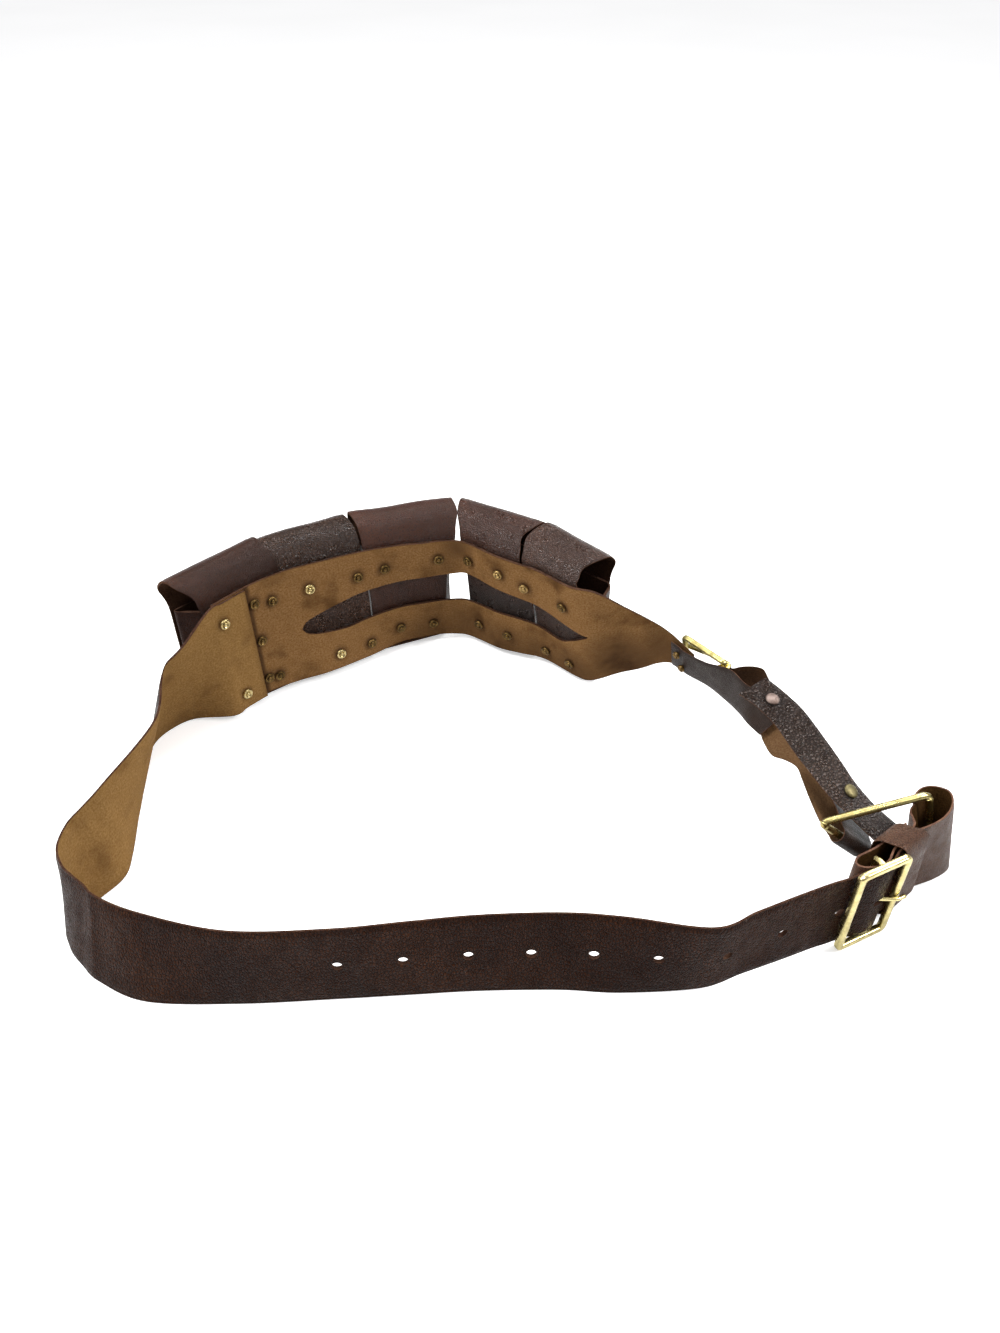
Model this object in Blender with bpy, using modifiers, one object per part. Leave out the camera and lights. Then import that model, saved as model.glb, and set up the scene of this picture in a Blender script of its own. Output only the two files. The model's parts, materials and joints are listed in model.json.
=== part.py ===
"""A leather utility belt standing on its edges as a closed loop: a pointed slotted back panel with five
flap pouches, a long punched front strap, two buckles, a four-sided ring and three narrow straps."""

import math

import bmesh
import bpy
from mathutils import Matrix, Vector

# Overall sizes of the loop, in metres. Plan positions in the tables are shares of these two.
LOOP_WIDTH = 0.440
LOOP_DEPTH = 0.270
# The wide leather: front strap, loop strap and keeper.
STRAP_WIDTH = 0.048
STRAP_THICKNESS = 0.0022
HOLE_DIAMETER = 0.005
HOLE_SIDES = 10
# The slotted back panel.
PANEL_HEIGHT = 0.076
PANEL_THICKNESS = 0.0022
# The narrow leather.
NARROW_WIDTH = 0.020
NARROW_THICKNESS = 0.0018
# The pouches.
POUCH_HEIGHT = 0.099
POUCH_DEPTH = 0.028
POUCH_THICKNESS = 0.0018
BODY_THICKNESS = 0.0016
BODY_TOP = 0.735
BODY_INSET = 0.045
STUD_RADIUS = 0.0045
# Rivets.
RIVET_HEAD_RADIUS = 0.0036
RIVET_HEAD_RISE = 0.0016
RIVET_SHANK_RADIUS = 0.0013
RIVET_TAIL_RADIUS = 0.0030
RIVET_SIDES = 8
# Brass wire.
FRONT_WIRE = 0.0016
SIDE_WIRE = 0.0013
RING_WIRE = 0.0015
TONGUE_WIRE = 0.0012
FRONT_BUCKLE_LENGTH = 0.0297
FRONT_BAR_SETBACK = 0.0060
SIDE_BUCKLE_LENGTH = 0.0300
# Fits.
GAP = 0.0003
LIE = 0.0004
TABLE_STEP = 0.010

BROWN = (0.060, 0.030, 0.022, 1.0)
DARK_BROWN = (0.045, 0.026, 0.020, 1.0)
TAN = (0.300, 0.180, 0.085, 1.0)
BRASS = (0.560, 0.400, 0.150, 1.0)
STEEL = (0.420, 0.370, 0.330, 1.0)


for leftover in list(bpy.data.objects):
    bpy.data.objects.remove(leftover, do_unlink=True)

belt_collection = bpy.data.collections.new("utility_belt")
bpy.context.scene.collection.children.link(belt_collection)
cutter_collection = bpy.data.collections.new("cutters")
bpy.context.scene.collection.children.link(cutter_collection)
cutter_collection.hide_render = True
belt = bpy.data.objects.new("belt_frame", None)
belt_collection.objects.link(belt)


def material(name, colour, roughness, metallic):
    made = bpy.data.materials.new(name)
    made.use_nodes = True
    surface = made.node_tree.nodes["Principled BSDF"]
    surface.inputs["Base Color"].default_value = colour
    surface.inputs["Roughness"].default_value = roughness
    surface.inputs["Metallic"].default_value = metallic
    return made


def finish(obj, colour, roughness=0.55, metallic=0.0, smooth=True):
    """Puts a finished piece in the belt's collection with its own material."""
    belt_collection.objects.link(obj)
    obj.parent = belt
    obj.data.materials.append(material(obj.name + "_finish", colour, roughness, metallic))
    if smooth:
        for face in obj.data.polygons:
            face.use_smooth = True
    return obj


def plan(x_share, y_share, z=0.0):
    return Vector((x_share * LOOP_WIDTH, y_share * LOOP_DEPTH, z))


def smooth_row(rows, position):
    """A row of numbers at a fractional position along a table, by a Catmull-Rom curve."""
    last = len(rows) - 1
    i = min(int(position), last - 1)
    t = position - i
    a = rows[max(i - 1, 0)]
    b = rows[i]
    c = rows[i + 1]
    d = rows[min(i + 2, last)]
    return [
        0.5 * (2 * q + (r - p) * t + (2 * p - 5 * q + 4 * r - s) * t * t
               + (3 * q - p - 3 * r + s) * t ** 3)
        for p, q, r, s in zip(a, b, c, d)
    ]


def finer(rows, step):
    """The table with rows added between the given ones, no further apart in space than the step."""
    found = []
    for i in range(len(rows) - 1):
        length = (Vector(rows[i + 1][:3]) - Vector(rows[i][:3])).length
        count = max(1, math.ceil(length / step))
        found += [smooth_row(rows, i + k / count) for k in range(count)]
    return found + [list(rows[-1])]


def leaning(rows, inward, height):
    """Rows of x, y, z and a width vector, from rows of x share, y share, z share, lean and width share."""
    points = [plan(r[0], r[1], r[2] * height) for r in rows]
    found = []
    for i, row in enumerate(rows):
        along = points[min(i + 1, len(rows) - 1)] - points[max(i - 1, 0)]
        side = Vector((-along.y, along.x, 0)).normalized() * inward
        tilt = math.radians(row[3])
        width = (side * math.sin(tilt) + Vector((0, 0, math.cos(tilt)))) * row[4] * height
        found.append([*points[i], *width])
    return found


def free_rows(rows):
    """Rows of x, y, z and a width vector, from shares of the loop, the panel height and the narrow width."""
    return [
        [*plan(r[0], r[1], r[2] * PANEL_HEIGHT), *(Vector(r[3:6]) * NARROW_WIDTH)] for r in rows
    ]


def grid_mesh(name, lines, gaps=()):
    """A mesh of quads between neighbouring lines of points. A gap (line, level) leaves that quad out."""
    mesh = bpy.data.meshes.new(name)
    shape = bmesh.new()
    made = [[shape.verts.new(p) for p in line] for line in lines]
    for i in range(len(made) - 1):
        for j in range(len(made[i]) - 1):
            if (i, j) not in gaps:
                shape.faces.new((made[i][j], made[i + 1][j], made[i + 1][j + 1], made[i][j + 1]))
    bmesh.ops.remove_doubles(shape, verts=shape.verts, dist=1e-6)
    bmesh.ops.recalc_face_normals(shape, faces=shape.faces)
    loose = [v for v in shape.verts if not v.link_faces]
    bmesh.ops.delete(shape, geom=loose, context="VERTS")
    shape.to_mesh(mesh)
    shape.free()
    return mesh


def sheet(name, lines, thickness, gaps=()):
    """An open surface through the lines, given its thickness evenly on both sides."""
    obj = bpy.data.objects.new(name, grid_mesh(name, lines, gaps))
    solid = obj.modifiers.new("thickness", "SOLIDIFY")
    solid.thickness = thickness
    solid.offset = 0.0
    solid.use_even_offset = True
    solid.thickness_clamp = 1.0
    return obj


def strap_lines(rows, levels=(0.0, 1.0)):
    return [[Vector(r[:3]) + Vector(r[3:6]) * level for level in levels] for r in rows]


def cutter(name, centre, direction, radius, length, sides=HOLE_SIDES):
    """A closed round cutter, kept out of the belt."""
    mesh = bpy.data.meshes.new(name)
    shape = bmesh.new()
    bmesh.ops.create_cone(shape, cap_ends=True, segments=sides, radius1=radius, radius2=radius,
                          depth=length)
    shape.to_mesh(mesh)
    shape.free()
    obj = bpy.data.objects.new(name, mesh)
    obj.parent = belt
    obj.matrix_local = Matrix.Translation(centre) @ direction.to_track_quat("Z", "Y").to_matrix().to_4x4()
    obj.display_type = "WIRE"
    cutter_collection.objects.link(obj)
    return obj


def cut(obj, cutters, label="holes"):
    """Cuts all of the given cutters from a piece in one Boolean."""
    group = bpy.data.collections.new(obj.name + "_" + label)
    cutter_collection.children.link(group)
    for item in cutters:
        group.objects.link(item)
    tool = obj.modifiers.new(label, "BOOLEAN")
    tool.operand_type = "COLLECTION"
    tool.collection = group
    tool.operation = "DIFFERENCE"
    tool.solver = "EXACT"


def turned(name, profile, sides, centre, axis, colour, roughness=0.35, metallic=1.0):
    """A turned piece: its profile of (radius, height) rows runs from the axis at the bottom to the top."""
    mesh = bpy.data.meshes.new(name)
    points = [(radius, 0.0, height) for radius, height in profile]
    mesh.from_pydata(points, [(i, i + 1) for i in range(len(points) - 1)], [])
    obj = bpy.data.objects.new(name, mesh)
    screw = obj.modifiers.new("turn", "SCREW")
    screw.axis = "Z"
    screw.angle = 2 * math.pi
    screw.steps = sides
    screw.render_steps = sides
    screw.use_merge_vertices = True
    screw.merge_threshold = 0.00001
    screw.use_normal_calculate = True
    screw.use_normal_flip = True
    screw.use_smooth_shade = True
    finish(obj, colour, roughness, metallic, smooth=False)
    obj.matrix_local = Matrix.Translation(centre) @ axis.to_track_quat("Z", "Y").to_matrix().to_4x4()
    return obj


def wire_mesh(name, points, radius, closed):
    """A round wire through the points as a mesh, its caps welded."""
    curve = bpy.data.curves.new(name + "_path", "CURVE")
    curve.dimensions = "3D"
    curve.bevel_depth = radius
    curve.bevel_resolution = 2
    curve.use_fill_caps = True
    line = curve.splines.new("POLY")
    line.points.add(len(points) - 1)
    for point, place in zip(line.points, points):
        point.co = (*place, 1.0)
    line.use_cyclic_u = closed
    holder = bpy.data.objects.new(name + "_path", curve)
    bpy.context.scene.collection.objects.link(holder)
    bpy.context.view_layer.update()
    graph = bpy.context.evaluated_depsgraph_get()
    mesh = bpy.data.meshes.new_from_object(holder.evaluated_get(graph))
    shape = bmesh.new()
    shape.from_mesh(mesh)
    bmesh.ops.remove_doubles(shape, verts=shape.verts, dist=1e-6)
    bmesh.ops.recalc_face_normals(shape, faces=shape.faces)
    shape.to_mesh(mesh)
    shape.free()
    bpy.data.objects.remove(holder, do_unlink=True)
    return mesh


def rounded_loop(corners, radius, steps=3):
    """Points round a closed polygon whose corners are rounded."""
    found = []
    count = len(corners)
    for i, corner in enumerate(corners):
        before = (corners[i - 1] - corner).normalized()
        after = (corners[(i + 1) % count] - corner).normalized()
        start = corner + before * radius
        end = corner + after * radius
        for k in range(steps + 1):
            t = k / steps
            found.append(start.lerp(corner, t).lerp(corner.lerp(end, t), t))
    return found


# The slotted panel. Columns: x share, y share, bottom as a share of the height, lean, height share.
PANEL_ROWS = (
    (-0.3682, 0.7037, 0.039, -2, 1.000),
    (-0.3227, 0.7741, 0.059, -3, 1.000),
    (-0.2818, 0.8148, 0.059, -6, 1.000),
    (-0.2432, 0.8444, 0.059, -7, 1.000),
    (-0.1886, 0.9037, 0.059, -3, 1.000),
    (-0.1477, 0.9556, 0.059, 3, 1.000),
    (-0.1114, 0.9778, 0.059, 5, 1.000),
    (-0.0818, 0.9889, 0.059, 5, 1.000),
    (-0.0523, 0.9870, 0.059, 5, 1.000),
    (-0.0295, 0.9667, 0.059, 5, 1.000),
    (0.0000, 0.9333, 0.059, 6, 1.000),
    (0.0295, 0.9148, 0.059, 8, 1.000),
    (0.0659, 0.8926, 0.059, 10, 1.000),
    (0.1091, 0.8296, 0.059, 10, 1.000),
    (0.1295, 0.8093, 0.079, 9, 0.987),
    (0.1659, 0.8000, 0.184, 10, 0.750),
    (0.1932, 0.7926, 0.250, 13, 0.618),
    (0.2182, 0.7852, 0.329, 14, 0.447),
    (0.2364, 0.7630, 0.382, 12, 0.316),
    (0.2591, 0.7130, 0.421, 15, 0.237),
)
# The long slot. Columns: share of the panel's length, low and high edges as shares of its height.
SLOT_ROWS = (
    (0.173, 0.455, 0.465),
    (0.190, 0.375, 0.530),
    (0.254, 0.300, 0.600),
    (0.315, 0.360, 0.640),
    (0.465, 0.380, 0.660),
    (0.526, 0.400, 0.690),
    (0.636, 0.400, 0.640),
    (0.721, 0.340, 0.580),
    (0.758, 0.410, 0.550),
    (0.786, 0.495, 0.505),
)
panel_fine = finer(leaning(PANEL_ROWS, -1.0, PANEL_HEIGHT), TABLE_STEP / 4)
panel_arcs = [0.0]
for before, after in zip(panel_fine, panel_fine[1:]):
    panel_arcs.append(panel_arcs[-1] + (Vector(after[:3]) - Vector(before[:3])).to_2d().length)
panel_length = panel_arcs[-1]


def panel_row(share):
    """The panel's row at a share of its length: bottom point and width vector."""
    arc = min(max(share, 0.0), 1.0) * panel_length
    i = max(k for k, value in enumerate(panel_arcs[:-1]) if value <= arc)
    t = (arc - panel_arcs[i]) / (panel_arcs[i + 1] - panel_arcs[i])
    return [p + (q - p) * t for p, q in zip(panel_fine[i], panel_fine[i + 1])]


def panel_frame(share, height, inside=0.0):
    """A point on the panel, moved to its inner side by a distance, and the normal there."""
    nearby = 0.010
    here = panel_row(share)
    after = panel_row(share + nearby)
    before = panel_row(share - nearby)
    along = (Vector(after[:3]) + Vector(after[3:6]) * height
             - Vector(before[:3]) - Vector(before[3:6]) * height)
    normal = Vector(here[3:6]).cross(along).normalized()
    return Vector(here[:3]) + Vector(here[3:6]) * height + normal * -inside, -normal


def table_at(rows, position):
    """The other columns of a table at a value of its first column, by straight lines."""
    for a, b in zip(rows, rows[1:]):
        if a[0] <= position <= b[0]:
            t = (position - a[0]) / (b[0] - a[0])
            return [p + (q - p) * t for p, q in zip(a[1:], b[1:])]
    return None


PANEL_START = 0.015
slot_start = SLOT_ROWS[0][0]
slot_end = SLOT_ROWS[-1][0]
stations = sorted(
    {round(k / 38, 4) for k in range(1, 39)} | {PANEL_START}
    - {round(k / 38, 4) for k in range(39) if min(abs(k / 38 - r[0]) for r in SLOT_ROWS) < 0.012}
    | {r[0] for r in SLOT_ROWS}
)
panel_lines = []
open_quads = set()
for i, share in enumerate(stations):
    row = panel_row(share)
    low, high = 0.46, 0.50
    if slot_start <= share <= slot_end:
        low, high = table_at(SLOT_ROWS, share)
    if slot_start <= share < slot_end:
        open_quads.add((i, 1))
    panel_lines.append([Vector(row[:3]) + Vector(row[3:6]) * level for level in (0, low, high, 1)])
panel = sheet("slotted_panel", panel_lines, PANEL_THICKNESS, open_quads)
finish(panel, BROWN)

# The front strap, from the lap seam round the left bend to the front buckle.
# Columns: x share, y share, bottom as a share of the strap's width, lean to the inside, width share.
LAP_END = 0.0790
LAP_WIDTH = 0.98
FRONT_ROWS = (
    (-0.4150, 0.6996, 0.021, 15, 1.438),
    (-0.4439, 0.6711, 0.000, 19, 1.375),
    (-0.4609, 0.6274, 0.000, 20, 1.312),
    (-0.4570, 0.5789, 0.000, 17, 1.250),
    (-0.4502, 0.4696, 0.000, 19, 1.188),
    (-0.4355, 0.3189, 0.000, -2, 1.104),
    (-0.4352, 0.2637, 0.000, -9, 1.083),
    (-0.4523, 0.2200, 0.000, -8, 1.073),
    (-0.4705, 0.1852, 0.000, 3, 1.062),
    (-0.4773, 0.1433, 0.000, 15, 1.052),
    (-0.4632, 0.1041, 0.000, 13, 1.042),
    (-0.4440, 0.0720, 0.000, 16, 1.042),
    (-0.4214, 0.0419, 0.000, 16, 1.031),
    (-0.3655, 0.0037, 0.000, 17, 1.021),
    (-0.2686, 0.0000, 0.000, 6, 1.000),
    (-0.1659, 0.0093, 0.000, 4, 1.000),
    (-0.0932, 0.0170, 0.000, 6, 1.000),
    (-0.0209, 0.0244, 0.000, 8, 1.000),
    (0.0627, 0.0263, 0.000, 9, 1.000),
    (0.1250, 0.0207, 0.000, 8, 1.000),
    (0.2091, 0.0285, 0.010, -2, 1.000),
    (0.2541, 0.0537, 0.031, -1, 1.000),
    (0.2998, 0.0793, 0.056, 0, 1.000),
)
# The front buckle's frame: its left post stands at this share of the loop and runs along this heading.
BUCKLE_POST = (0.3648, 0.1056)
BUCKLE_HEADING = math.radians(25.7)
post = plan(*BUCKLE_POST)
buckle_along = Vector((math.cos(BUCKLE_HEADING), math.sin(BUCKLE_HEADING), 0))
buckle_in = Vector((-buckle_along.y, buckle_along.x, 0))
buckle_opening = STRAP_WIDTH + 2 * GAP + 0.0002
buckle_bottom = 2 * FRONT_WIRE + GAP + 0.0001
bar_span = FRONT_BUCKLE_LENGTH - 2 * FRONT_WIRE
lap = FRONT_WIRE + GAP + STRAP_THICKNESS / 2
layer = STRAP_THICKNESS + GAP + LIE / 2


def at_buckle(u, v, z=0.0):
    """A point beside the buckle: u along it from the left post, v to the inside of the loop."""
    return post + buckle_along * u + buckle_in * v + Vector((0, 0, z))


# The strap's end in the buckle. Columns: share of the bar span, distance to the inside in layers of strap.
BILLET_ROWS = (
    (-0.50, 1.65),
    (-0.20, 1.30),
    (0.00, 1.16),
    (0.20, 0.95),
    (0.45, 0.12),
    (0.60, 0.00),
    (0.74, 0.34),
    (0.88, 1.30),
    (1.02, 2.10),
    (1.25, 2.64),
    (1.50, 3.22),
)
lap_rows = []
for share in (LAP_END, 0.060, 0.032, 0.005):
    foot, inward_normal = panel_frame(share, 0.0, PANEL_THICKNESS / 2 + GAP + STRAP_THICKNESS / 2 + LIE)
    lap_rows.append([*foot, *(Vector(panel_row(share)[3:6]) * LAP_WIDTH)])
billet = [
    [*at_buckle(u * bar_span, v * layer, buckle_bottom), 0, 0, STRAP_WIDTH] for u, v in BILLET_ROWS
]
front_rows = lap_rows + leaning(FRONT_ROWS, 1.0, STRAP_WIDTH) + billet
front_fine = finer(front_rows, TABLE_STEP)
front_strap = sheet("front_strap", strap_lines(front_fine), STRAP_THICKNESS)
finish(front_strap, BROWN)
# The punched holes, by the x of each as a share of the loop's width; the last is the tongue's.
HOLE_X = (-0.1636, -0.0977, -0.0318, 0.0318, 0.0955, 0.1605, 0.2295, 0.2898, 0.3420)
holes = []
for i, share in enumerate(HOLE_X):
    run = [
        (a, b) for a, b in zip(front_fine, front_fine[1:])
        if a[0] <= share * LOOP_WIDTH <= b[0] and a[1] < 0.25 * LOOP_DEPTH
    ]
    a, b = run[0]
    t = (share * LOOP_WIDTH - a[0]) / (b[0] - a[0])
    row = [p + (q - p) * t for p, q in zip(a, b)]
    across = Vector(row[3:6])
    along = Vector(b[:3]) - Vector(a[:3])
    holes.append(cutter(f"hole_{i + 1}", Vector(row[:3]) + across / 2, along.cross(across).normalized(),
                        HOLE_DIAMETER / 2, 4 * STRAP_THICKNESS))


def block_cutter(name, centre, along, side, length, width, height):
    """A closed box cutter: its length runs along, its width to the side and its height up."""
    mesh = bpy.data.meshes.new(name)
    shape = bmesh.new()
    bmesh.ops.create_cube(shape, size=1.0)
    shape.to_mesh(mesh)
    shape.free()
    obj = bpy.data.objects.new(name, mesh)
    obj.parent = belt
    turn = Matrix((along, side, along.cross(side))).transposed().to_4x4()
    scale = Matrix.Diagonal((length, width, height, 1.0))
    obj.matrix_local = Matrix.Translation(centre) @ turn @ scale
    obj.display_type = "WIRE"
    cutter_collection.objects.link(obj)
    return obj


# The tongue's own hole in the strap, longer than it is high, and the slot for it in the loop strap.
tongue_level = buckle_bottom + STRAP_WIDTH * 0.5
centre_u = bar_span / 2
tongue_room = 2 * (TONGUE_WIRE + 0.0006)
holes.append(block_cutter("hole_tongue", at_buckle(bar_span * 0.68, layer * 0.30, tongue_level),
                          buckle_along, buckle_in, 0.0086, 0.0080, tongue_room))

# The front buckle: a rectangle of wire with a centre bar set back behind it.
frame_low = FRONT_WIRE
frame_high = buckle_bottom + buckle_opening + FRONT_WIRE - GAP
corners = [
    at_buckle(0, 0, frame_low), at_buckle(bar_span, 0, frame_low),
    at_buckle(bar_span, 0, frame_high), at_buckle(0, 0, frame_high),
]
front_buckle = bpy.data.objects.new(
    "front_buckle", wire_mesh("front_buckle", rounded_loop(corners, 0.0030), FRONT_WIRE, True))
bar_points = [
    at_buckle(centre_u, 0, frame_high), at_buckle(centre_u, FRONT_BAR_SETBACK * 0.7, frame_high),
    at_buckle(centre_u, FRONT_BAR_SETBACK, frame_high - 0.0006),
    at_buckle(centre_u, FRONT_BAR_SETBACK, frame_low + 0.0006),
    at_buckle(centre_u, FRONT_BAR_SETBACK * 0.7, frame_low), at_buckle(centre_u, 0, frame_low),
]
centre_bar = bpy.data.objects.new(
    "centre_bar", wire_mesh("centre_bar", bar_points, FRONT_WIRE * 0.94, False))
centre_bar.parent = belt
centre_bar.display_type = "WIRE"
cutter_collection.objects.link(centre_bar)
joined = front_buckle.modifiers.new("centre_bar", "BOOLEAN")
joined.object = centre_bar
joined.operation = "UNION"
joined.solver = "EXACT"
finish(front_buckle, BRASS, 0.3, 1.0)

# The front tongue: a hook round the centre bar, then through both straps and over the right bar.
hook = FRONT_WIRE + GAP + TONGUE_WIRE
tongue_points = [
    at_buckle(centre_u + hook * math.cos(math.radians(a)),
              FRONT_BAR_SETBACK + hook * math.sin(math.radians(a)), tongue_level)
    for a in (40, 80, 120, 160, 200, 235, 262)
]
tongue_points += [
    at_buckle(bar_span * 0.72, 0.0004, tongue_level),
    at_buckle(bar_span * 0.97, -hook, tongue_level),
    at_buckle(bar_span * 1.14, -hook * 1.05, tongue_level),
]
front_tongue = bpy.data.objects.new(
    "front_tongue", wire_mesh("front_tongue", tongue_points, TONGUE_WIRE, False))
finish(front_tongue, BRASS, 0.3, 1.0)

# The loop strap. Its first rows stand in the buckle: u as a share of the bar span, v in layers.
LOOP_IN_BUCKLE = (
    (1.58, 6.41),
    (1.36, 5.89),
    (1.11, 5.26),
    (0.83, 4.67),
    (0.59, 4.40),
    (0.34, 4.33),
    (0.21, 3.80),
    (0.175, 2.95),
    (0.24, 2.10),
    (0.36, 1.55),
    (0.50, 1.13),
    (0.66, 1.18),
    (0.77, 1.60),
    (0.89, 2.37),
    (1.02, 3.05),
    (1.25, 3.60),
    (1.50, 4.15),
)
# The rest. Columns: x and y shares of the loop, bottom and width vector as shares of the strap's width.
LOOP_ROWS = (
    (0.4475, 0.2181, 0.072, 0.000, 0.000, 1.00),
    (0.4641, 0.2304, 0.071, -0.025, -0.006, 0.99),
    (0.4809, 0.2419, 0.058, -0.085, -0.006, 0.985),
    (0.4977, 0.2541, 0.046, -0.150, -0.008, 0.99),
    (0.5150, 0.2711, 0.042, -0.200, 0.023, 0.98),
    (0.5218, 0.2852, 0.050, -0.208, 0.073, 0.97),
    (0.5182, 0.2985, 0.071, -0.181, 0.092, 0.95),
    (0.5091, 0.3022, 0.092, -0.177, 0.125, 0.93),
    (0.4985, 0.2960, 0.118, -0.190, 0.167, 0.91),
    (0.4891, 0.2831, 0.152, -0.211, 0.190, 0.885),
    (0.4812, 0.2659, 0.190, -0.231, 0.178, 0.855),
    (0.4760, 0.2528, 0.190, -0.221, 0.148, 0.855),
    (0.4605, 0.2459, 0.125, -0.142, 0.096, 0.92),
    (0.4445, 0.2300, 0.096, -0.010, 0.010, 0.96),
    (0.4330, 0.2170, 0.090, 0.000, 0.000, 0.96),
)
loop_rows = [
    [*at_buckle(u * bar_span, v * layer, buckle_bottom), 0, 0, STRAP_WIDTH] for u, v in LOOP_IN_BUCKLE
]
loop_rows += [
    [*plan(r[0], r[1], r[2] * STRAP_WIDTH), *(Vector(r[3:6]) * STRAP_WIDTH)] for r in LOOP_ROWS
]
loop_fine = finer(loop_rows, TABLE_STEP / 2)
loop_strap = sheet("loop_strap", strap_lines(loop_fine), STRAP_THICKNESS)
finish(loop_strap, BROWN)
cut(loop_strap, [block_cutter(
    "slot_tongue", at_buckle(bar_span * 0.55, layer * 1.15, tongue_level), buckle_along, buckle_in,
    bar_span * 0.50, 0.0056, tongue_room + 0.0004)], "tongue_slot")
cut(front_strap, holes)

# The keeper: a band round all the layers beside the buckle, cut askew at both ends.
# Columns: share of the depth to the inside, share of the height, share of the corner's rounding.
KEEPER_SECTION = (
    (0.00, 0.10), (0.00, 0.37), (0.00, 0.63), (0.00, 0.90), (0.06, 0.97), (0.22, 1.00), (0.50, 1.00),
    (0.78, 1.00), (0.94, 0.97), (1.00, 0.90), (1.00, 0.50), (1.00, 0.10), (0.94, 0.03), (0.78, 0.00),
    (0.50, 0.00), (0.22, 0.00), (0.06, 0.03),
)
KEEPER_SLOPE = 0.235
KEEPER_NEAR = (1.110, 1.245, 1.758, 2.040)
KEEPER_FAR = (0.755, 0.830, 1.358, 1.430)
keeper_depth = 5.48 * layer
keeper_low = STRAP_THICKNESS / 2 + LIE
keeper_high = buckle_bottom * 2 + STRAP_WIDTH - keeper_low
keeper_lines = []
for depth_share, height_share in KEEPER_SECTION:
    line = []
    for end in (0, 0.5, 1):
        near_top, near_low, near_top_end, near_low_end = KEEPER_NEAR
        far_top, far_low, far_top_end, far_low_end = KEEPER_FAR
        near = near_low + (near_top - near_low) * height_share
        near_end = near_low_end + (near_top_end - near_low_end) * height_share
        far = far_low + (far_top - far_low) * height_share
        far_end = far_low_end + (far_top_end - far_low_end) * height_share
        start = near + (far - near) * depth_share
        finish_at = near_end + (far_end - near_end) * depth_share
        u = (start + (finish_at - start) * end) * bar_span
        v = layer * 1.08 + KEEPER_SLOPE * (u - bar_span * 1.11) + depth_share * keeper_depth
        line.append(at_buckle(u, v, keeper_low + (keeper_high - keeper_low) * height_share))
    keeper_lines.append(line)
keeper_lines.append([p.copy() for p in keeper_lines[0]])
keeper = sheet("keeper", keeper_lines, STRAP_THICKNESS)
finish(keeper, BROWN)

# The four-sided ring. Columns: x and y shares of the loop, height as a share of the panel's height.
RING_CORNERS = (
    (0.3439, 0.2359, 0.658),
    (0.4682, 0.2889, 0.711),
    (0.4966, 0.2704, 0.025),
    (0.4045, 0.2463, 0.343),
)
ring_corners = [plan(x, y, z * PANEL_HEIGHT) for x, y, z in RING_CORNERS]
ring = bpy.data.objects.new("ring", wire_mesh("ring", rounded_loop(ring_corners, 0.0040), RING_WIRE, True))
finish(ring, BRASS, 0.3, 1.0)

# The tip strap, riveted to the inner side of the panel's tip. Columns as in free_rows.
TIP_ROWS = (
    (0.2727, 0.6837, 0.395, -0.31, -0.18, 0.93),
    (0.2911, 0.6359, 0.395, -0.23, -0.12, 0.96),
    (0.3030, 0.5948, 0.408, 0.02, 0.00, 1.00),
    (0.3089, 0.5537, 0.434, 0.45, 0.25, 0.85),
    (0.3173, 0.5100, 0.474, 0.75, 0.40, 0.48),
)
tip_rows = []
for share in (0.948, 0.968, 0.988):
    row = panel_row(share)
    across = Vector(row[3:6]).normalized()
    spare = (Vector(row[3:6]).length - NARROW_WIDTH) / 2
    foot, _ = panel_frame(share, 0.0, PANEL_THICKNESS / 2 + GAP + NARROW_THICKNESS / 2 + LIE)
    tip_rows.append([*(foot + across * spare), *(across * NARROW_WIDTH)])
tip_fine = finer(tip_rows + free_rows(TIP_ROWS), TABLE_STEP * 0.8)
tip_strap = sheet("tip_strap", strap_lines(tip_fine), NARROW_THICKNESS)
finish(tip_strap, BROWN)

# The side buckle stands outside the tip strap and leans with it.
SIDE_TOP = (0.2841, 0.6596, 0.697)
SIDE_HEADING = math.radians(-51.2)
SIDE_LEAN = 15
side_along = Vector((math.cos(SIDE_HEADING), math.sin(SIDE_HEADING), 0))
side_out = Vector((-side_along.y, side_along.x, 0))
side_up = (Vector((0, 0, math.cos(math.radians(SIDE_LEAN))))
           - side_out * math.sin(math.radians(SIDE_LEAN)))
side_face = side_along.cross(side_up) * -1
side_tongue_wire = TONGUE_WIRE * 0.75
side_rise = NARROW_WIDTH + 2 * (SIDE_WIRE + side_tongue_wire) + 8 * GAP
side_run = SIDE_BUCKLE_LENGTH
hinge_top = plan(SIDE_TOP[0], SIDE_TOP[1], SIDE_TOP[2] * PANEL_HEIGHT)


def at_hinge(along, out, down):
    """A point beside the side buckle's hinge bar: along its frame, out of it and down from its top."""
    return hinge_top + side_along * along + side_face * out - side_up * down


side_corners = [
    at_hinge(-side_run, 0, 0), at_hinge(0, 0, 0), at_hinge(0, 0, side_rise), at_hinge(-side_run, 0, side_rise),
]
side_buckle = bpy.data.objects.new(
    "side_buckle", wire_mesh("side_buckle", rounded_loop(side_corners, 0.0028), SIDE_WIRE, True))
finish(side_buckle, BRASS, 0.3, 1.0)
side_hook = SIDE_WIRE + GAP + side_tongue_wire
side_drop = SIDE_WIRE + 2 * GAP + side_tongue_wire
side_tongue_points = [
    at_hinge(side_hook * math.cos(math.radians(a)), side_hook * math.sin(math.radians(a)), side_drop)
    for a in (-150, -110, -70, -30, 10, 50, 85)
]
side_tongue_points += [
    at_hinge(-side_run * 0.55, side_hook, side_drop),
    at_hinge(-side_run * 1.06, side_hook * 1.05, side_drop),
]
side_tongue = bpy.data.objects.new(
    "side_tongue", wire_mesh("side_tongue", side_tongue_points, side_tongue_wire, False))
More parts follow.
